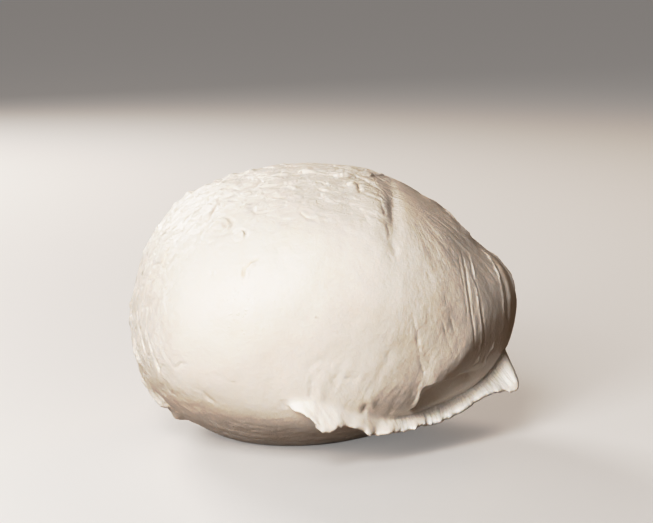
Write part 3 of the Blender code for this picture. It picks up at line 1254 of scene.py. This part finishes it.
@dataclass(frozen=True)
class SkinFlow:
    """How the curd was stretched: rings of folds round the taut front, and pull fibres.

    The fold rings circle the taut patch at the front. The pull fibres fan out from the
    gather under the crown down to the seam of the lip. Each Span is the stretch over
    which a share goes from 0 to 1.
    """

    radius: float = 38.0
    taut: Place = (-5.0, 2.0)
    gather: Place = (15.0, 72.0)
    fan_radius: float = 26.0
    gather_lean: float = 0.1
    damp: Place = (-18.5, 14.0)
    damp_size: tuple[float, float, float] = (3.6, 14.0, 10.5)
    # The lip: run of the seam where loose pleats give way to firm ribs, and its extent
    firm_run: Span = (22.0, 32.0)
    lip_cover: Span = (-0.6, -0.15)
    lip_out: Span = (-2.5, -0.5)
    # Its pleats where firm, and what they gain where loose
    pleat_size: tuple[float, float] = (0.4, 0.25)
    # Where loose: deeper cover, loss of the fine ribs, slant and squeeze of the pleats
    loose_cover: float = 0.5
    rib_loss: float = 0.8
    pleat_slant: float = 0.5
    pleat_squeeze: float = 1.6
    # Gathers and pull fibres above the lip
    lip_reach: float = 12.0
    gather_start: Span = (2.0, 10.0)
    gather_end: Span = (44.0, 60.0)
    gather_above: Span = (0.4, 3.0)
    gather_gap: Span = (9.0, 17.0)
    gather_strength: tuple[float, float] = (0.45, 0.55)
    pull_place: Span = (0.10, 0.5)
    pull_fall: Span = (5.0, 14.0)
    pull_over_lip: float = 0.5
    pull_loss: float = 0.45
    # Folds: their strength in the taut patch and gain beyond it, and where they are calmer
    fold_strength: tuple[float, float] = (0.06, 0.94)
    fold_near: Span = (20.0, 44.0)
    fold_pole: Span = (2.0, 16.0)
    fold_under: Span = (-0.2, 0.5)
    calm_under: float = 0.45
    fold_far: Span = (58.0, 82.0)
    calm_far: float = 0.6
    fold_shoulder: Span = (0.31, 0.42)
    calm_shoulder: float = 0.8
    # Lumps: their strength, and what they gain towards the crown
    lump_strength: tuple[float, float] = (0.25, 0.75)
    lump_rise: Span = (0.0, 0.6)
    lump_back: Span = (-0.5, 0.3)
    # Edge of the wet patch: size and seed of its raggedness, and the share across it
    damp_pattern: tuple[float, int] = (2.6, 31)
    damp_edge: Span = (-1.0, 0.4)
    rest_rise: Span = (0.0, 1.2)
    # Painted shade in the corner over the lip: where it starts above the seam, and its reach, mm
    shade_above: Span = (-0.2, 0.6)
    seam_shade: float = 1.6

    def polar(self, form: BallForm, directions: Array, pole: Place) -> tuple[Array, Array]:
        """Measure round a pole of the skin.

        Args:
            form: The egg.
            directions: Unit directions.
            pole: Its along and turn.

        Returns:
            Bearing in radians, 0 towards the narrow end, and distance in mm.
        """
        axis = form.direction_at(np.array([pole[0]]), np.array([pole[1]]))[0]
        east = unit(np.array([1.0, 0.0, 0.0]) - axis[0] * axis)
        north = np.cross(east, axis)
        bearing = np.arctan2(directions @ north, directions @ east)
        distance = self.radius * np.arccos(np.clip(directions @ axis, -1.0, 1.0))
        return bearing, distance

    def annotate(self, mesh: Mesh, form: BallForm, lip: PinchedLip) -> None:
        """Keep the flow coordinates and shares that the relief and the finish read.

        Args:
            mesh: The skin.
            form: The egg under it.
            lip: The lip grown from it.
        """
        points = read_points(mesh)
        directions = form.directions(points)
        reading = lip.read(form, points)
        loose = 1.0 - ramp(reading.run, *self.firm_run)
        covered = ramp(reading.inside, self.lip_cover[0] - self.loose_cover * loose, self.lip_cover[1])
        on_lip = covered * ramp(reading.out, *self.lip_out)
        shares = {
            **self.lip_values(reading, loose, on_lip),
            **self.fold_values(form, directions, reading, on_lip),
            "wet_share": self.wetness(form, points) * (1.0 - on_lip),
            "rest_share": 1.0 - ramp(points[:, 2], *self.rest_rise),
            # hollow holds painted shade: darker curd colour in the corner over the lip, in the cracks and
            # on the facet strips
            "hollow": self.shade(mesh, form, reading, on_lip, loose),
        }
        for name, values in shares.items():
            keep_value(mesh, name, values)

    def lip_values(self, reading: SeamReading, loose: Array, on_lip: Array) -> dict[str, Array]:
        """Ribs of the lip, and gathers above it.

        Args:
            reading: Where the points lie relative to the seam.
            loose: Share of loose pleats.
            on_lip: Share of each point in the lip.

        Returns:
            Values by the name of their attribute.
        """
        run, out, gap = reading.run, reading.out, reading.gap
        level = np.zeros(len(run))
        within = ramp(run, *self.gather_start) * (1.0 - ramp(run, *self.gather_end))
        gather = ramp(reading.above, *self.gather_above) * (1.0 - ramp(gap, *self.gather_gap))
        gather = gather * within * (1.0 - on_lip)
        slanted = run - self.pleat_slant * loose * out
        squeezed = out * (1.0 + self.pleat_squeeze * loose)
        return {
            "rib_size": self.pleat_size[0] + self.pleat_size[1] * loose,
            "rib_fine": 1.0 - self.rib_loss * loose,
            "rib_flow": np.column_stack((slanted, squeezed, level)),
            "gather_share": gather * (self.gather_strength[0] + self.gather_strength[1] * loose),
            "gather_flow": np.column_stack((run - self.gather_lean * gap, gap, level)),
            "lip_share": on_lip,
        }

    def fold_values(self, form: BallForm, directions: Array, reading: SeamReading,
                    on_lip: Array) -> dict[str, Array]:
        """Fold rings, pull fibres and lumps of the skin.

        Args:
            form: The egg.
            directions: Unit directions of the points.
            reading: Where the points lie relative to the seam.
            on_lip: Share of each point in the lip.

        Returns:
            Values by the name of their attribute.
        """
        bearing, distance = self.polar(form, directions, self.taut)
        ring = self.radius * np.stack((np.cos(bearing), np.sin(bearing)), axis=-1)
        fan, fall = self.polar(form, directions, self.gather)
        place = directions[:, 0]
        near_lip = np.exp(-((reading.gap / self.lip_reach) ** 2)) * (1.0 - on_lip)
        pulled = ramp(place, *self.pull_place) * ramp(fall, *self.pull_fall)
        pulled = np.maximum(pulled, self.pull_over_lip * near_lip)
        pulled *= 1.0 - self.pull_loss * near_lip
        pulled *= 1.0 - on_lip
        polar_fade = ramp(self.radius * math.pi - distance, *self.fold_pole)
        folded = self.fold_strength[0] + self.fold_strength[1] * ramp(distance, *self.fold_near)
        folded = folded * (1.0 - pulled) * (1.0 - on_lip)
        calm = 1.0 - self.calm_under * ramp(-directions[:, 2], *self.fold_under)
        calm = calm * (1.0 - self.calm_far * ramp(distance, *self.fold_far))
        calm *= 1.0 - self.calm_shoulder * ramp(place, *self.fold_shoulder)
        crown = ramp(directions[:, 2], *self.lump_rise) * ramp(-place, *self.lump_back)
        return {
            "fold_flow": np.column_stack((ring, distance)),
            "fold_share": folded * polar_fade * calm,
            "pull_flow": np.column_stack((self.fan_radius * fan, fall, np.zeros(len(fan)))),
            "pull_share": pulled,
            "lump_share": (self.lump_strength[0] + self.lump_strength[1] * crown) * (1.0 - on_lip),
        }

    def wetness(self, form: BallForm, points: Array) -> Array:
        """Share of each point in the wet patch, which has a ragged edge."""
        middle = form.points(form.direction_at(np.array([self.damp[0]]), np.array([self.damp[1]])))
        spread = (points - middle) / np.array(self.damp_size)
        return ramp(wander(points, *self.damp_pattern) - (spread**2).sum(axis=1), *self.damp_edge)

    def shade(self, mesh: Mesh, form: BallForm, reading: SeamReading, on_lip: Array,
              loose: Array) -> Array:
        """Painted shade: how much darker the curd colour is made in the corner over the lip, in the cracks,
        and on the strips of the facet and the torn fold.

        Args:
            mesh: The skin.
            form: The egg.
            reading: Where the points lie relative to the seam.
            on_lip: Share of each point in the lip.
            loose: Share of loose pleats.

        Returns:
            The shade of each point.
        """
        above_lip = ramp(reading.above, *self.shade_above) * (1.0 - on_lip)
        shaded = above_lip * np.exp(-((reading.gap / self.seam_shade) ** 2)) * (1.0 - loose)
        points = read_points(mesh)
        normals = read_normals(mesh)
        for crease in (*PAINTED_SHADE_STRIPS, *CRACKS):
            shaded = np.maximum(shaded, np.abs(crease.height_at(form, points, normals)))
        return shaded


@dataclass(frozen=True)
class SkinRelief:
    """Heights and spacings of the relief that Geometry Nodes raises on the skin, mm.

    The class values are shapes, as shares of one layer or one cell.
    """

    TORN_EDGE: ClassVar[Span] = (0.72, 1.0)
    CRACK_PLACE: ClassVar[float] = 0.76
    CRACK_EDGE: ClassVar[Span] = (0.86, 1.0)
    CRACK_RISE: ClassVar[float] = -0.22
    LAYER_RISE: ClassVar[float] = 0.42
    SOFT_RISE: ClassVar[float] = 0.8
    RIDGE_RISE: ClassVar[float] = 2.2
    BAND_RISE: ClassVar[float] = 2.6
    BAND_SCALE: ClassVar[float] = 0.35
    PLEAT_SCALE: ClassVar[float] = 0.37
    LIP_RISE: ClassVar[float] = 3.0
    GATHER_RISE: ClassVar[float] = 3.0
    LUMP_RISE: ClassVar[float] = 2.0

    fold_height: float = 0.42
    fold_spacing: float = 3.2
    fold_length: float = 7.0
    fold_layers: float = 3.0
    fibre_height: float = 0.15
    fibre_spacing: float = 1.15
    fibre_length: float = 4.2
    lump_height: float = 0.30
    lump_size: float = 5.5
    rib_height: float = 0.17
    pleat_height: float = 0.26
    rib_spacing: float = 0.95
    rib_length: float = 8.0
    swell_height: float = 0.30
    swell_size: float = 11.0
    gather_height: float = 0.13
    gather_spacing: float = 2.1
    gather_length: float = 7.0
    seed: float = 3.7

    def inputs(self) -> dict[str, float]:
        """The sizes by the names of the tree's inputs."""
        return {row.name.replace("_", " ").title(): getattr(self, row.name) for row in fields(self)}

    def tree(self) -> bpy.types.NodeTree:
        """Build the tree that moves the skin along its normal.

        Returns:
            The tree.
        """
        shape = ReliefTree(bpy.data.node_groups.new("skin_relief", "GeometryNodeTree"))
        for name in ("Millimetre", *self.inputs()):
            shape.size(name)
        material = shape.size("Skin", "NodeSocketMaterial")
        kinds = (self.folds, self.fibres, self.lumps, self.ribs, self.gathers, self.swells)
        heights = shape.total(*(kind(shape) for kind in kinds))
        standing = shape.math("SUBTRACT", 1.0, shape.attribute("rest_share"))
        rise = shape.product(heights, standing, shape.given("Millimetre"))
        normal = shape.add("GeometryNodeInputNormal").outputs[0]
        move = {"Geometry": shape.given("Geometry"), "Offset": shape.scaled(normal, rise)}
        shape.finish(shape.fed(shape.add("GeometryNodeSetPosition"), move), material)
        return shape.tree

    def folds(self, shape: ReliefTree) -> Socket:
        """Thin overlapping layers of skin whose torn edges follow the fold rings.

        Args:
            shape: The tree.

        Returns:
            Height of the folds.
        """
        length = shape.over("Fold Length")
        place = shape.along_flow("fold_flow", length, length, shape.over("Fold Spacing"))
        layers = shape.given("Fold Layers")
        level = shape.product(shape.noise(place, 1.0, 2.5, 0.55, 0.6), shape.product(layers, 2.0))
        within = shape.math("FRACT", level)
        terrace = shape.math("ADD", shape.math("FLOOR", level), shape.step(within, *self.TORN_EDGE))
        terrace = shape.product(shape.math("SUBTRACT", terrace, layers), self.LAYER_RISE)
        off_crack = shape.math("ABSOLUTE", shape.math("SUBTRACT", within, self.CRACK_PLACE))
        crack = shape.step(shape.math("SUBTRACT", 1.0, off_crack), *self.CRACK_EDGE)
        soft = shape.math("SUBTRACT", shape.noise(place, 1.7, 3.0, 0.6), 0.5)
        relief = shape.total(
            terrace, shape.product(crack, self.CRACK_RISE), shape.product(soft, self.SOFT_RISE))
        return shape.raised(relief, "fold_share", "Fold Height")

    def fibres(self, shape: ReliefTree) -> Socket:
        """Fine ridges of pulled curd that run from the gather to the seam.

        Args:
            shape: The tree.

        Returns:
            Height of the fibres.
        """
        place = shape.along_flow("pull_flow", shape.over("Fibre Spacing"), shape.over("Fibre Length"), 1.0)
        band = shape.uneven(shape.scaled(place, self.BAND_SCALE), 2.0, 0.5, 0.4)
        fine = shape.uneven(place, 3.0, 0.6, 0.3)
        ridge = shape.math("SUBTRACT", 0.25, shape.math("ABSOLUTE", fine))
        relief = shape.total(shape.product(ridge, self.RIDGE_RISE), shape.product(band, self.BAND_RISE))
        return shape.raised(relief, "pull_share", "Fibre Height")

    def lumps(self, shape: ReliefTree) -> Socket:
        """Soft uneven lumps of curd under the skin."""
        relief = shape.uneven(shape.in_space("Lump Size"), 2.0, 0.5, 0.3)
        return shape.raised(shape.product(relief, self.LUMP_RISE), "lump_share", "Lump Height")

    def ribs(self, shape: ReliefTree) -> Socket:
        """Folds and fine ribs squeezed across the lip.

        Args:
            shape: The tree.

        Returns:
            Height of the ribs and pleats.
        """
        place = shape.along_flow("rib_flow", shape.over("Rib Spacing"), shape.over("Rib Length"), 1.0)
        fine = shape.raised(shape.uneven(place, 2.0, 0.55, 0.3), "rib_fine", "Rib Height")
        soft = shape.uneven(shape.scaled(place, self.PLEAT_SCALE), 1.0, 0.5, 0.3)
        soft = shape.raised(soft, "rib_size", "Pleat Height")
        share = shape.product(shape.attribute("lip_share"), self.LIP_RISE)
        return shape.product(shape.total(fine, soft), share)

    def gathers(self, shape: ReliefTree) -> Socket:
        """Slanting wrinkles gathered above the lip.

        Args:
            shape: The tree.

        Returns:
            Height of the gathers.
        """
        spacing = shape.over("Gather Spacing")
        place = shape.along_flow("gather_flow", spacing, shape.over("Gather Length"), 1.0)
        relief = shape.product(shape.uneven(place, 2.0, 0.5, 0.8), self.GATHER_RISE)
        return shape.raised(relief, "gather_share", "Gather Height")

    def swells(self, shape: ReliefTree) -> Socket:
        """Broad faint unevenness of a hand-formed ball."""
        relief = shape.uneven(shape.in_space("Swell Size"), 1.0, 0.5)
        return shape.product(relief, self.LUMP_RISE, shape.given("Swell Height"))

    def raise_on(self, item: Item, skin: bpy.types.Material) -> None:
        """Run the tree on the skin object."""
        apply_tree(item, self.tree(), {"Millimetre": MM, **self.inputs(), "Skin": skin})


# ---------------------------------------------------------------------------- finishes


@dataclass
class PaintBench(Bench):
    """A shader tree that reads the values kept on the mesh."""

    def share(self, name: str) -> Socket:
        """A kept number."""
        return self.add("ShaderNodeAttribute", attribute_name=name).outputs["Fac"]

    def flow(self, name: str, stretch: tuple[float, float, float]) -> Socket:
        """A kept flow vector, stretched."""
        kept = self.add("ShaderNodeAttribute", attribute_name=name).outputs["Vector"]
        return self.vector("MULTIPLY", kept, stretch)

    def mixed(self, share: object, first: object, second: object) -> Socket:
        """Blend two colours.

        Args:
            share: Share of the second.
            first: A colour.
            second: Another.

        Returns:
            The blend.
        """
        node = self.add("ShaderNodeMix", data_type="RGBA")
        self.fed(node, {"Factor": share, "A": first, "B": second})
        return node.outputs["Result"]


@dataclass(frozen=True)
class CheeseSkin:
    """Moist milky skin: warm white, light passes a little way into it, and it glistens."""

    curd: Colour = (0.89, 0.833, 0.765)
    # The cream colour tints the random mottle and also serves as painted shade in the corner over the lip,
    # in cracks and on the facet strips
    cream: Colour = (0.66, 0.50, 0.33)
    # The torn colour whitens the fine-ribbed lip: fresh torn curd, and light painted on its lit face
    torn: Colour = (0.96, 0.92, 0.87)
    mottle_scale: float = 0.12
    mottle_edge: Span = (0.45, 0.8)
    mottle_share: float = 0.12
    painted_shade_share: float = 0.8
    roughness: Span = (0.34, 0.55)
    gloss_scale: float = 0.9
    wet_gloss: float = 0.8
    scatter_weight: float = 0.5
    scatter_depth: float = 1.0
    scatter_colours: Colour = (1.0, 0.88, 0.76)
    refraction: float = 1.4
    # Fine grain: heights in mm, and cells for each mm
    pore_height: float = 0.12
    pore_scale: float = 0.8
    fibre_height: float = 0.11
    fibre_stretch: tuple[float, float, float] = (1.5, 0.33, 1.0)
    wrinkle_height: float = 0.17
    wrinkle_layers: float = 9.0
    wrinkle_stretch: tuple[float, float, float] = (0.26, 0.26, 0.55)
    wrinkle_edge: Span = (0.55, 1.0)
    rib_height: float = 0.22
    rib_stretch: tuple[float, float, float] = (1.6, 0.22, 1.0)
    bead_height: float = 0.07
    bead_scale: float = 1.3
    bead_edge: Span = (0.42, 0.10)

    def material(self) -> bpy.types.Material:
        """Build the finish.

        Returns:
            The material.
        """
        made = bpy.data.materials.new("fresh_cheese_skin")
        made.use_nodes = True
        bench = PaintBench(made.node_tree)
        shader = made.node_tree.nodes["Principled BSDF"]
        shader.subsurface_method = "RANDOM_WALK"
        place = bench.scaled(bench.add("ShaderNodeTexCoord").outputs["Object"], 1.0 / MM)
        bump = {"Strength": 1.0, "Distance": MM, "Height": self.grain(bench, place)}
        bench.fed(shader, {
            "Base Color": self.tone(bench, place),
            "Roughness": self.gloss(bench, place),
            "Normal": bench.fed(bench.add("ShaderNodeBump"), bump),
            "Subsurface Weight": self.scatter_weight,
            "Subsurface Radius": self.scatter_colours,
            "Subsurface Scale": self.scatter_depth * MM,
            "IOR": self.refraction,
        })
        return made

    def tone(self, bench: PaintBench, place: Socket) -> Socket:
        """Colour: faintly mottled; shade painted darker in the corner over the lip, in cracks and on the
        facet strips; whiter on the fine-ribbed lip, as torn curd and as painted light on its lit face.

        Args:
            bench: The shader tree.
            place: Position, mm.

        Returns:
            The colour.
        """
        mottle = bench.step(bench.noise(place, self.mottle_scale, 3.0, 0.6), *self.mottle_edge)
        mottle_and_shade = bench.product(mottle, self.mottle_share)
        # Painted shade: darker curd colour in the corner over the lip, in the cracks and on the facet
        # strips
        hollow = bench.product(bench.share("hollow"), self.painted_shade_share)
        mottle_and_shade = bench.math("ADD", mottle_and_shade, hollow, clamp=True)
        tone = bench.mixed(mottle_and_shade, (*self.curd, 1.0), (*self.cream, 1.0))
        # Whiter lip: torn curd, partly painted light on the lip's lit face
        torn_and_lit_lip = bench.product(bench.share("lip_share"), bench.share("rib_fine"))
        return bench.mixed(torn_and_lit_lip, tone, (*self.torn, 1.0))

    def gloss(self, bench: PaintBench, place: Socket) -> Socket:
        """Roughness: uneven, and lower in the wet patch.

        Args:
            bench: The shader tree.
            place: Position, mm.

        Returns:
            The roughness.
        """
        wet = bench.product(bench.share("wet_share"), self.wet_gloss)
        dry = bench.math("SUBTRACT", bench.noise(place, self.gloss_scale, 4.0, 0.6), wet)
        ends = {"Value": dry, "To Min": self.roughness[0], "To Max": self.roughness[1]}
        return bench.fed(bench.add("ShaderNodeMapRange"), ends)

    def grain(self, bench: PaintBench, place: Socket) -> Socket:
        """Fine grain: pores all over, fibres where it was pulled, wrinkles, ribs, and wet beads.

        Args:
            bench: The shader tree.
            place: Position, mm.

        Returns:
            Height of the grain, mm.
        """
        pores = bench.product(bench.noise(place, self.pore_scale, 4.0, 0.6, 0.3), self.pore_height)
        fine = bench.noise(bench.flow("pull_flow", self.fibre_stretch), 1.0, 3.0, 0.6, 0.4)
        fibres = bench.product(fine, bench.share("pull_share"), self.fibre_height)
        rings = bench.noise(bench.flow("fold_flow", self.wrinkle_stretch), 1.0, 3.0, 0.6, 0.9)
        within = bench.math("FRACT", bench.product(rings, self.wrinkle_layers))
        torn = bench.step(within, *self.wrinkle_edge)
        cracks = bench.math("SUBTRACT", torn, bench.product(within, 0.5))
        wrinkles = bench.product(cracks, bench.share("fold_share"), self.wrinkle_height)
        across = bench.noise(bench.flow("rib_flow", self.rib_stretch), 1.0, 2.0, 0.6, 0.4)
        ribs = bench.product(bench.share("lip_share"), bench.share("rib_fine"), across, self.rib_height)
        cells = bench.add("ShaderNodeTexVoronoi", feature="SMOOTH_F1")
        to_cell = bench.fed(cells, {"Vector": place, "Scale": self.bead_scale, "Smoothness": 0.3})
        beads = bench.step(to_cell, *self.bead_edge)
        beads = bench.product(beads, bench.share("wet_share"), self.bead_height)
        return bench.total(pores, fibres, wrinkles, ribs, beads)


# ---------------------------------------------------------------------------- assembly


@dataclass
class CheeseBall:
    """The whole cheese: egg, lip, marks and relief in one skin."""

    form: BallForm = field(default_factory=BallForm)
    settling: Settling = field(default_factory=Settling)
    lip: PinchedLip = field(default_factory=PinchedLip)
    valley: SeamValley = field(default_factory=SeamValley)
    flow: SkinFlow = field(default_factory=SkinFlow)
    relief: SkinRelief = field(default_factory=SkinRelief)
    finish: CheeseSkin = field(default_factory=CheeseSkin)
    grid: int = 200
    lip_sections: int = 300
    lip_ring: int = 48
    voxel: float = 0.30
    # Root of the lip: run of the seam where its broad rounding ends, and how far it reaches
    broad_root: Span = (20.0, 34.0)
    root_reach: Span = (0.7, 1.9)
    root_gap: float = 9.0
    root_above: Span = (-0.6, 0.4)
    root_strength: float = 0.7
    root_share: tuple[float, float] = (0.15, 0.85)
    root_rounds: int = 50
    # The whole skin is then smoothed lightly: strength and rounds
    light_strength: float = 0.5
    light_rounds: int = 2
    triangle_budget: int = 196000
    # Triangles turned further than this cosine from their corners' normals are mended
    fold_limit: float = 0.35
    mend_strength: float = 0.5
    mend_rounds: int = 12

    def egg_object(self) -> Item:
        """Make the egg from a cube grid rounded to a sphere, with its soft dents.

        Returns:
            The object.
        """
        shape = ShapeTree(bpy.data.node_groups.new("cube_grid", "GeometryNodeTree"))
        count = shape.size("Points", "NodeSocketInt")
        material = shape.size("Skin", "NodeSocketMaterial")
        sides = {name: count for name in ("Vertices X", "Vertices Y", "Vertices Z")}
        cube = shape.fed(shape.add("GeometryNodeMeshCube"), {"Size": (2.0, 2.0, 2.0), **sides})
        shape.finish(cube, material)
        item = show("cheese_skin", bpy.data.meshes.new("cheese_skin"))
        points = self.grid
        apply_tree(item, shape.tree, {"Points": points + 1})
        corners = read_points(item.data) * MM
        directions = unit(np.tan(corners * math.pi / 4.0))
        egg = self.form.points(directions)
        soft = dented(self.form, egg) + self.valley.movement(self.form, self.lip, egg)
        write_points(item.data, self.settling.settle(self.form, soft))
        return item

    def even_out(self, item: Item) -> None:
        """Remesh to even quads, and round off the root of the lip on its upper side.

        Args:
            item: The skin.
        """
        remesh = item.modifiers.new("even", "REMESH")
        remesh.mode = "VOXEL"
        remesh.voxel_size = self.voxel * MM * 1.0
        bake_modifiers(item)
        reading = self.lip.read(self.form, read_points(item.data))
        broad = 1.0 - ramp(reading.run, *self.broad_root)
        reach = self.root_reach[0] + self.root_reach[1] * broad
        root = np.exp(-((reading.out / reach) ** 2)) * ramp(reading.above, *self.root_above)
        root = root * (reading.gap < self.root_gap)
        share = self.root_share[0] + self.root_share[1] * broad
        relax(item.data, self.root_strength * root * share, self.root_rounds)
        relax(item.data, np.full(len(root), self.light_strength), self.light_rounds)

    def mark(self, mesh: Mesh) -> None:
        """Press the named creases, blisters and small dents into the skin.

        Args:
            mesh: The skin.
        """
        points = read_points(mesh)
        normals = read_normals(mesh)
        heights = sum(crease.height_at(self.form, points, normals) for crease in CREASES)
        heights = heights + sum(blister.height_at(self.form, points) for blister in BLISTERS)
        movement = sum(dent.movement(self.form, points) for dent in SMALL_DENTS)
        write_points(mesh, points + movement + heights[:, None] * normals)

    def thin(self, item: Item) -> None:
        """Thin the mesh to its budget, keeping triangles where the relief is.

        Args:
            item: The skin.
        """
        triangles = sum(len(face.vertices) - 2 for face in item.data.polygons)
        if triangles <= self.triangle_budget:
            return
        modifier = item.modifiers.new("thin", "DECIMATE")
        modifier.ratio = self.triangle_budget / triangles
        bake_modifiers(item)
        self.mend(item.data)

    def mend(self, mesh: Mesh) -> None:
        """Smooth out the few triangles that thinning left folded against their neighbours.

        Args:
            mesh: The skin, all in triangles.
        """
        corners = np.array([face.vertices[:3] for face in mesh.polygons])
        faces = read_rows(mesh.polygon_normals, "vector", 3, np.float32)
        facing = np.einsum("ijk,ik->ij", read_normals(mesh)[corners], faces)
        folded = np.unique(corners[facing.min(axis=1) < self.fold_limit])
        strength = np.zeros(len(mesh.vertices))
        strength[folded] = self.mend_strength
        relax(mesh, strength, self.mend_rounds)
        LOG.info("mended %d folded points", len(folded))

    def keep_off_floor(self, mesh: Mesh) -> None:
        """Hold every vertex at or above the floor.

        Args:
            mesh: The skin.
        """
        points = read_points(mesh)
        points[:, 2] = np.maximum(points[:, 2], 0.0)
        write_points(mesh, points)

    def build(self) -> Item:
        """Build and dress the cheese.

        Returns:
            Its finished skin.
        """
        item = self.egg_object()
        lip = self.lip.mesh(self.form, self.lip_sections, self.lip_ring)
        join_solids(item, show("lip_form", lip))
        self.even_out(item)
        self.mark(item.data)
        self.flow.annotate(item.data, self.form, self.lip)
        self.relief.raise_on(item, self.finish.material())
        self.thin(item)
        item.data.shade_smooth()
        self.keep_off_floor(item.data)
        self.flow.annotate(item.data, self.form, self.lip)
        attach(item, BODY)
        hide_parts(NODE)
        return item


# ---------------------------------------------------------------------------- studio


def aim(item: Item, target: Vector, azimuth: float, elevation: float, distance: float) -> None:
    """Link an object into the scene and aim it at a target.

    Args:
        item: The camera or lamp.
        target: What it looks at.
        azimuth: Bearing from the target, degrees: 0 is the front, positive to the right.
        elevation: Climb from the target, degrees.
        distance: Distance, metres.
    """
    bpy.context.scene.collection.objects.link(item)
    turn = math.radians(azimuth)
    climb = math.radians(elevation)
    level = math.cos(climb)
    bearing = Vector((math.sin(turn) * level, -math.cos(turn) * level, math.sin(climb)))
    item.location = target + distance * bearing
    item.rotation_euler = (target - item.location).to_track_quat("-Z", "Y").to_euler()


@dataclass(frozen=True)
class SoftLight:
    """A rectangular lamp aimed at the middle of the ball: degrees, metres and watts."""

    name: str
    azimuth: float
    elevation: float
    distance: float
    width: float
    height: float
    power: float
    colour: Colour

    def place(self, target: Vector) -> None:
        """Add the lamp.

        Args:
            target: What it lights.
        """
        lamp = bpy.data.lights.new(self.name, "AREA")
        lamp.shape = "RECTANGLE"
        lamp.size = self.width
        lamp.size_y = self.height
        lamp.energy = self.power
        lamp.color = self.colour
        item = bpy.data.objects.new(self.name, lamp)
        aim(item, target, self.azimuth, self.elevation, self.distance)


@dataclass(frozen=True)
class Studio:
    """Camera, pale floor, soft light and the tone of the picture."""

    # Camera: degrees and design millimetres; lens and sensor in millimetres
    camera_elevation: float = 10.0
    camera_distance: float = 431.0
    camera_height: float = 41.5
    lens: float = 100.0
    sensor: float = 36.0
    near_clip: float = 0.01
    lights: tuple[SoftLight, ...] = (
        SoftLight("key", -32.0, 17.0, 0.8, 0.25, 0.40, 3.8, (1.0, 0.995, 0.99)),
        SoftLight("upper_key", -18.0, 38.0, 0.8, 0.25, 0.40, 3.2, (1.0, 0.97, 0.94)),
        SoftLight("back_left", -145.0, 28.0, 0.8, 0.30, 0.30, 3.4, (1.0, 0.95, 0.90)),
        SoftLight("back_right", 152.0, 38.0, 0.8, 0.25, 0.40, 0.5, (1.0, 0.68, 0.40)),
    )
    floor_half: float = 8.0
    floor_colour: Colour = (0.60, 0.59, 0.58)
    floor_roughness: float = 0.6
    floor_glow: float = 0.35
    # The floor as the ball sees it: darker and warmer, so its underside stays in shade
    floor_bounce: Colour = (0.17, 0.11, 0.065)
    sky: Colour = (1.0, 0.62, 0.38)
    sky_strength: float = 0.045
    # Tone curve: (light in, light out), with a soft shoulder
    tone: Stations = (
        (0.0, 0.0), (0.12, 0.095), (0.30, 0.285), (0.50, 0.57), (0.70, 0.75), (0.90, 0.875), (1.40, 1.0),
    )

    def build(self) -> None:
        """Set up the studio."""
        target = Vector((0.0, 0.0, self.camera_height * MM))
        self.camera(target)
        for light in self.lights:
            light.place(target)
        self.floor()
        self.light_sky()
        self.set_tone(bpy.context.scene.view_settings)

    def camera(self, target: Vector) -> None:
        """Stand the camera.

        Args:
            target: What it looks at.
        """
        camera = bpy.data.cameras.new("camera")
        camera.lens = self.lens
        camera.sensor_width = self.sensor
        camera.clip_start = self.near_clip
        item = bpy.data.objects.new("camera", camera)
        aim(item, target, 0.0, self.camera_elevation, self.camera_distance * MM)
        bpy.context.scene.camera = item

    def light_sky(self) -> None:
        """Light the room with a weak warm glow."""
        world = bpy.data.worlds.new("studio")
        world.use_nodes = True
        background = world.node_tree.nodes["Background"]
        background.inputs["Color"].default_value = (*self.sky, 1.0)
        background.inputs["Strength"].default_value = self.sky_strength
        bpy.context.scene.world = world

    def set_tone(self, view: bpy.types.ColorManagedViewSettings) -> None:
        """Show the picture plainly, through the tone curve.

        Args:
            view: The scene's view settings.
        """
        view.view_transform = "Standard"
        view.use_curve_mapping = True
        mapping = view.curve_mapping
        white = self.tone[-1][0]
        mapping.white_level = (white, white, white)
        combined = mapping.curves[3]
        for light, shown in self.tone[1:-1]:
            combined.points.new(light / white, shown)
        mapping.update()

    def floor(self) -> None:
        """Lay the floor."""
        half = self.floor_half
        corners = np.array([(-half, -half, 0.0), (half, -half, 0.0), (half, half, 0.0), (-half, half, 0.0)])
        floor = show("floor", new_mesh("floor", corners / MM, [(0, 1, 2, 3)]))
        paint = bpy.data.materials.new("pale_floor")
        paint.use_nodes = True
        bench = PaintBench(paint.node_tree)
        in_view = bench.add("ShaderNodeLightPath").outputs["Is Camera Ray"]
        bench.fed(paint.node_tree.nodes["Principled BSDF"], {
            "Base Color": bench.mixed(in_view, (*self.floor_bounce, 1.0), (*self.floor_colour, 1.0)),
            "Emission Color": (*self.floor_colour, 1.0),
            "Emission Strength": bench.product(in_view, self.floor_glow),
            "Roughness": self.floor_roughness,
        })
        floor.data.materials.append(paint)


def main() -> None:
    """Build the cheese and its studio, and report each piece."""
    logging.basicConfig(level=logging.INFO, format="%(name)s: %(message)s")
    ball = CheeseBall().build()
    LOG.info("%s: %d faces", ball.name, len(ball.data.polygons))
    Studio().build()


if __name__ == "__main__":
    main()
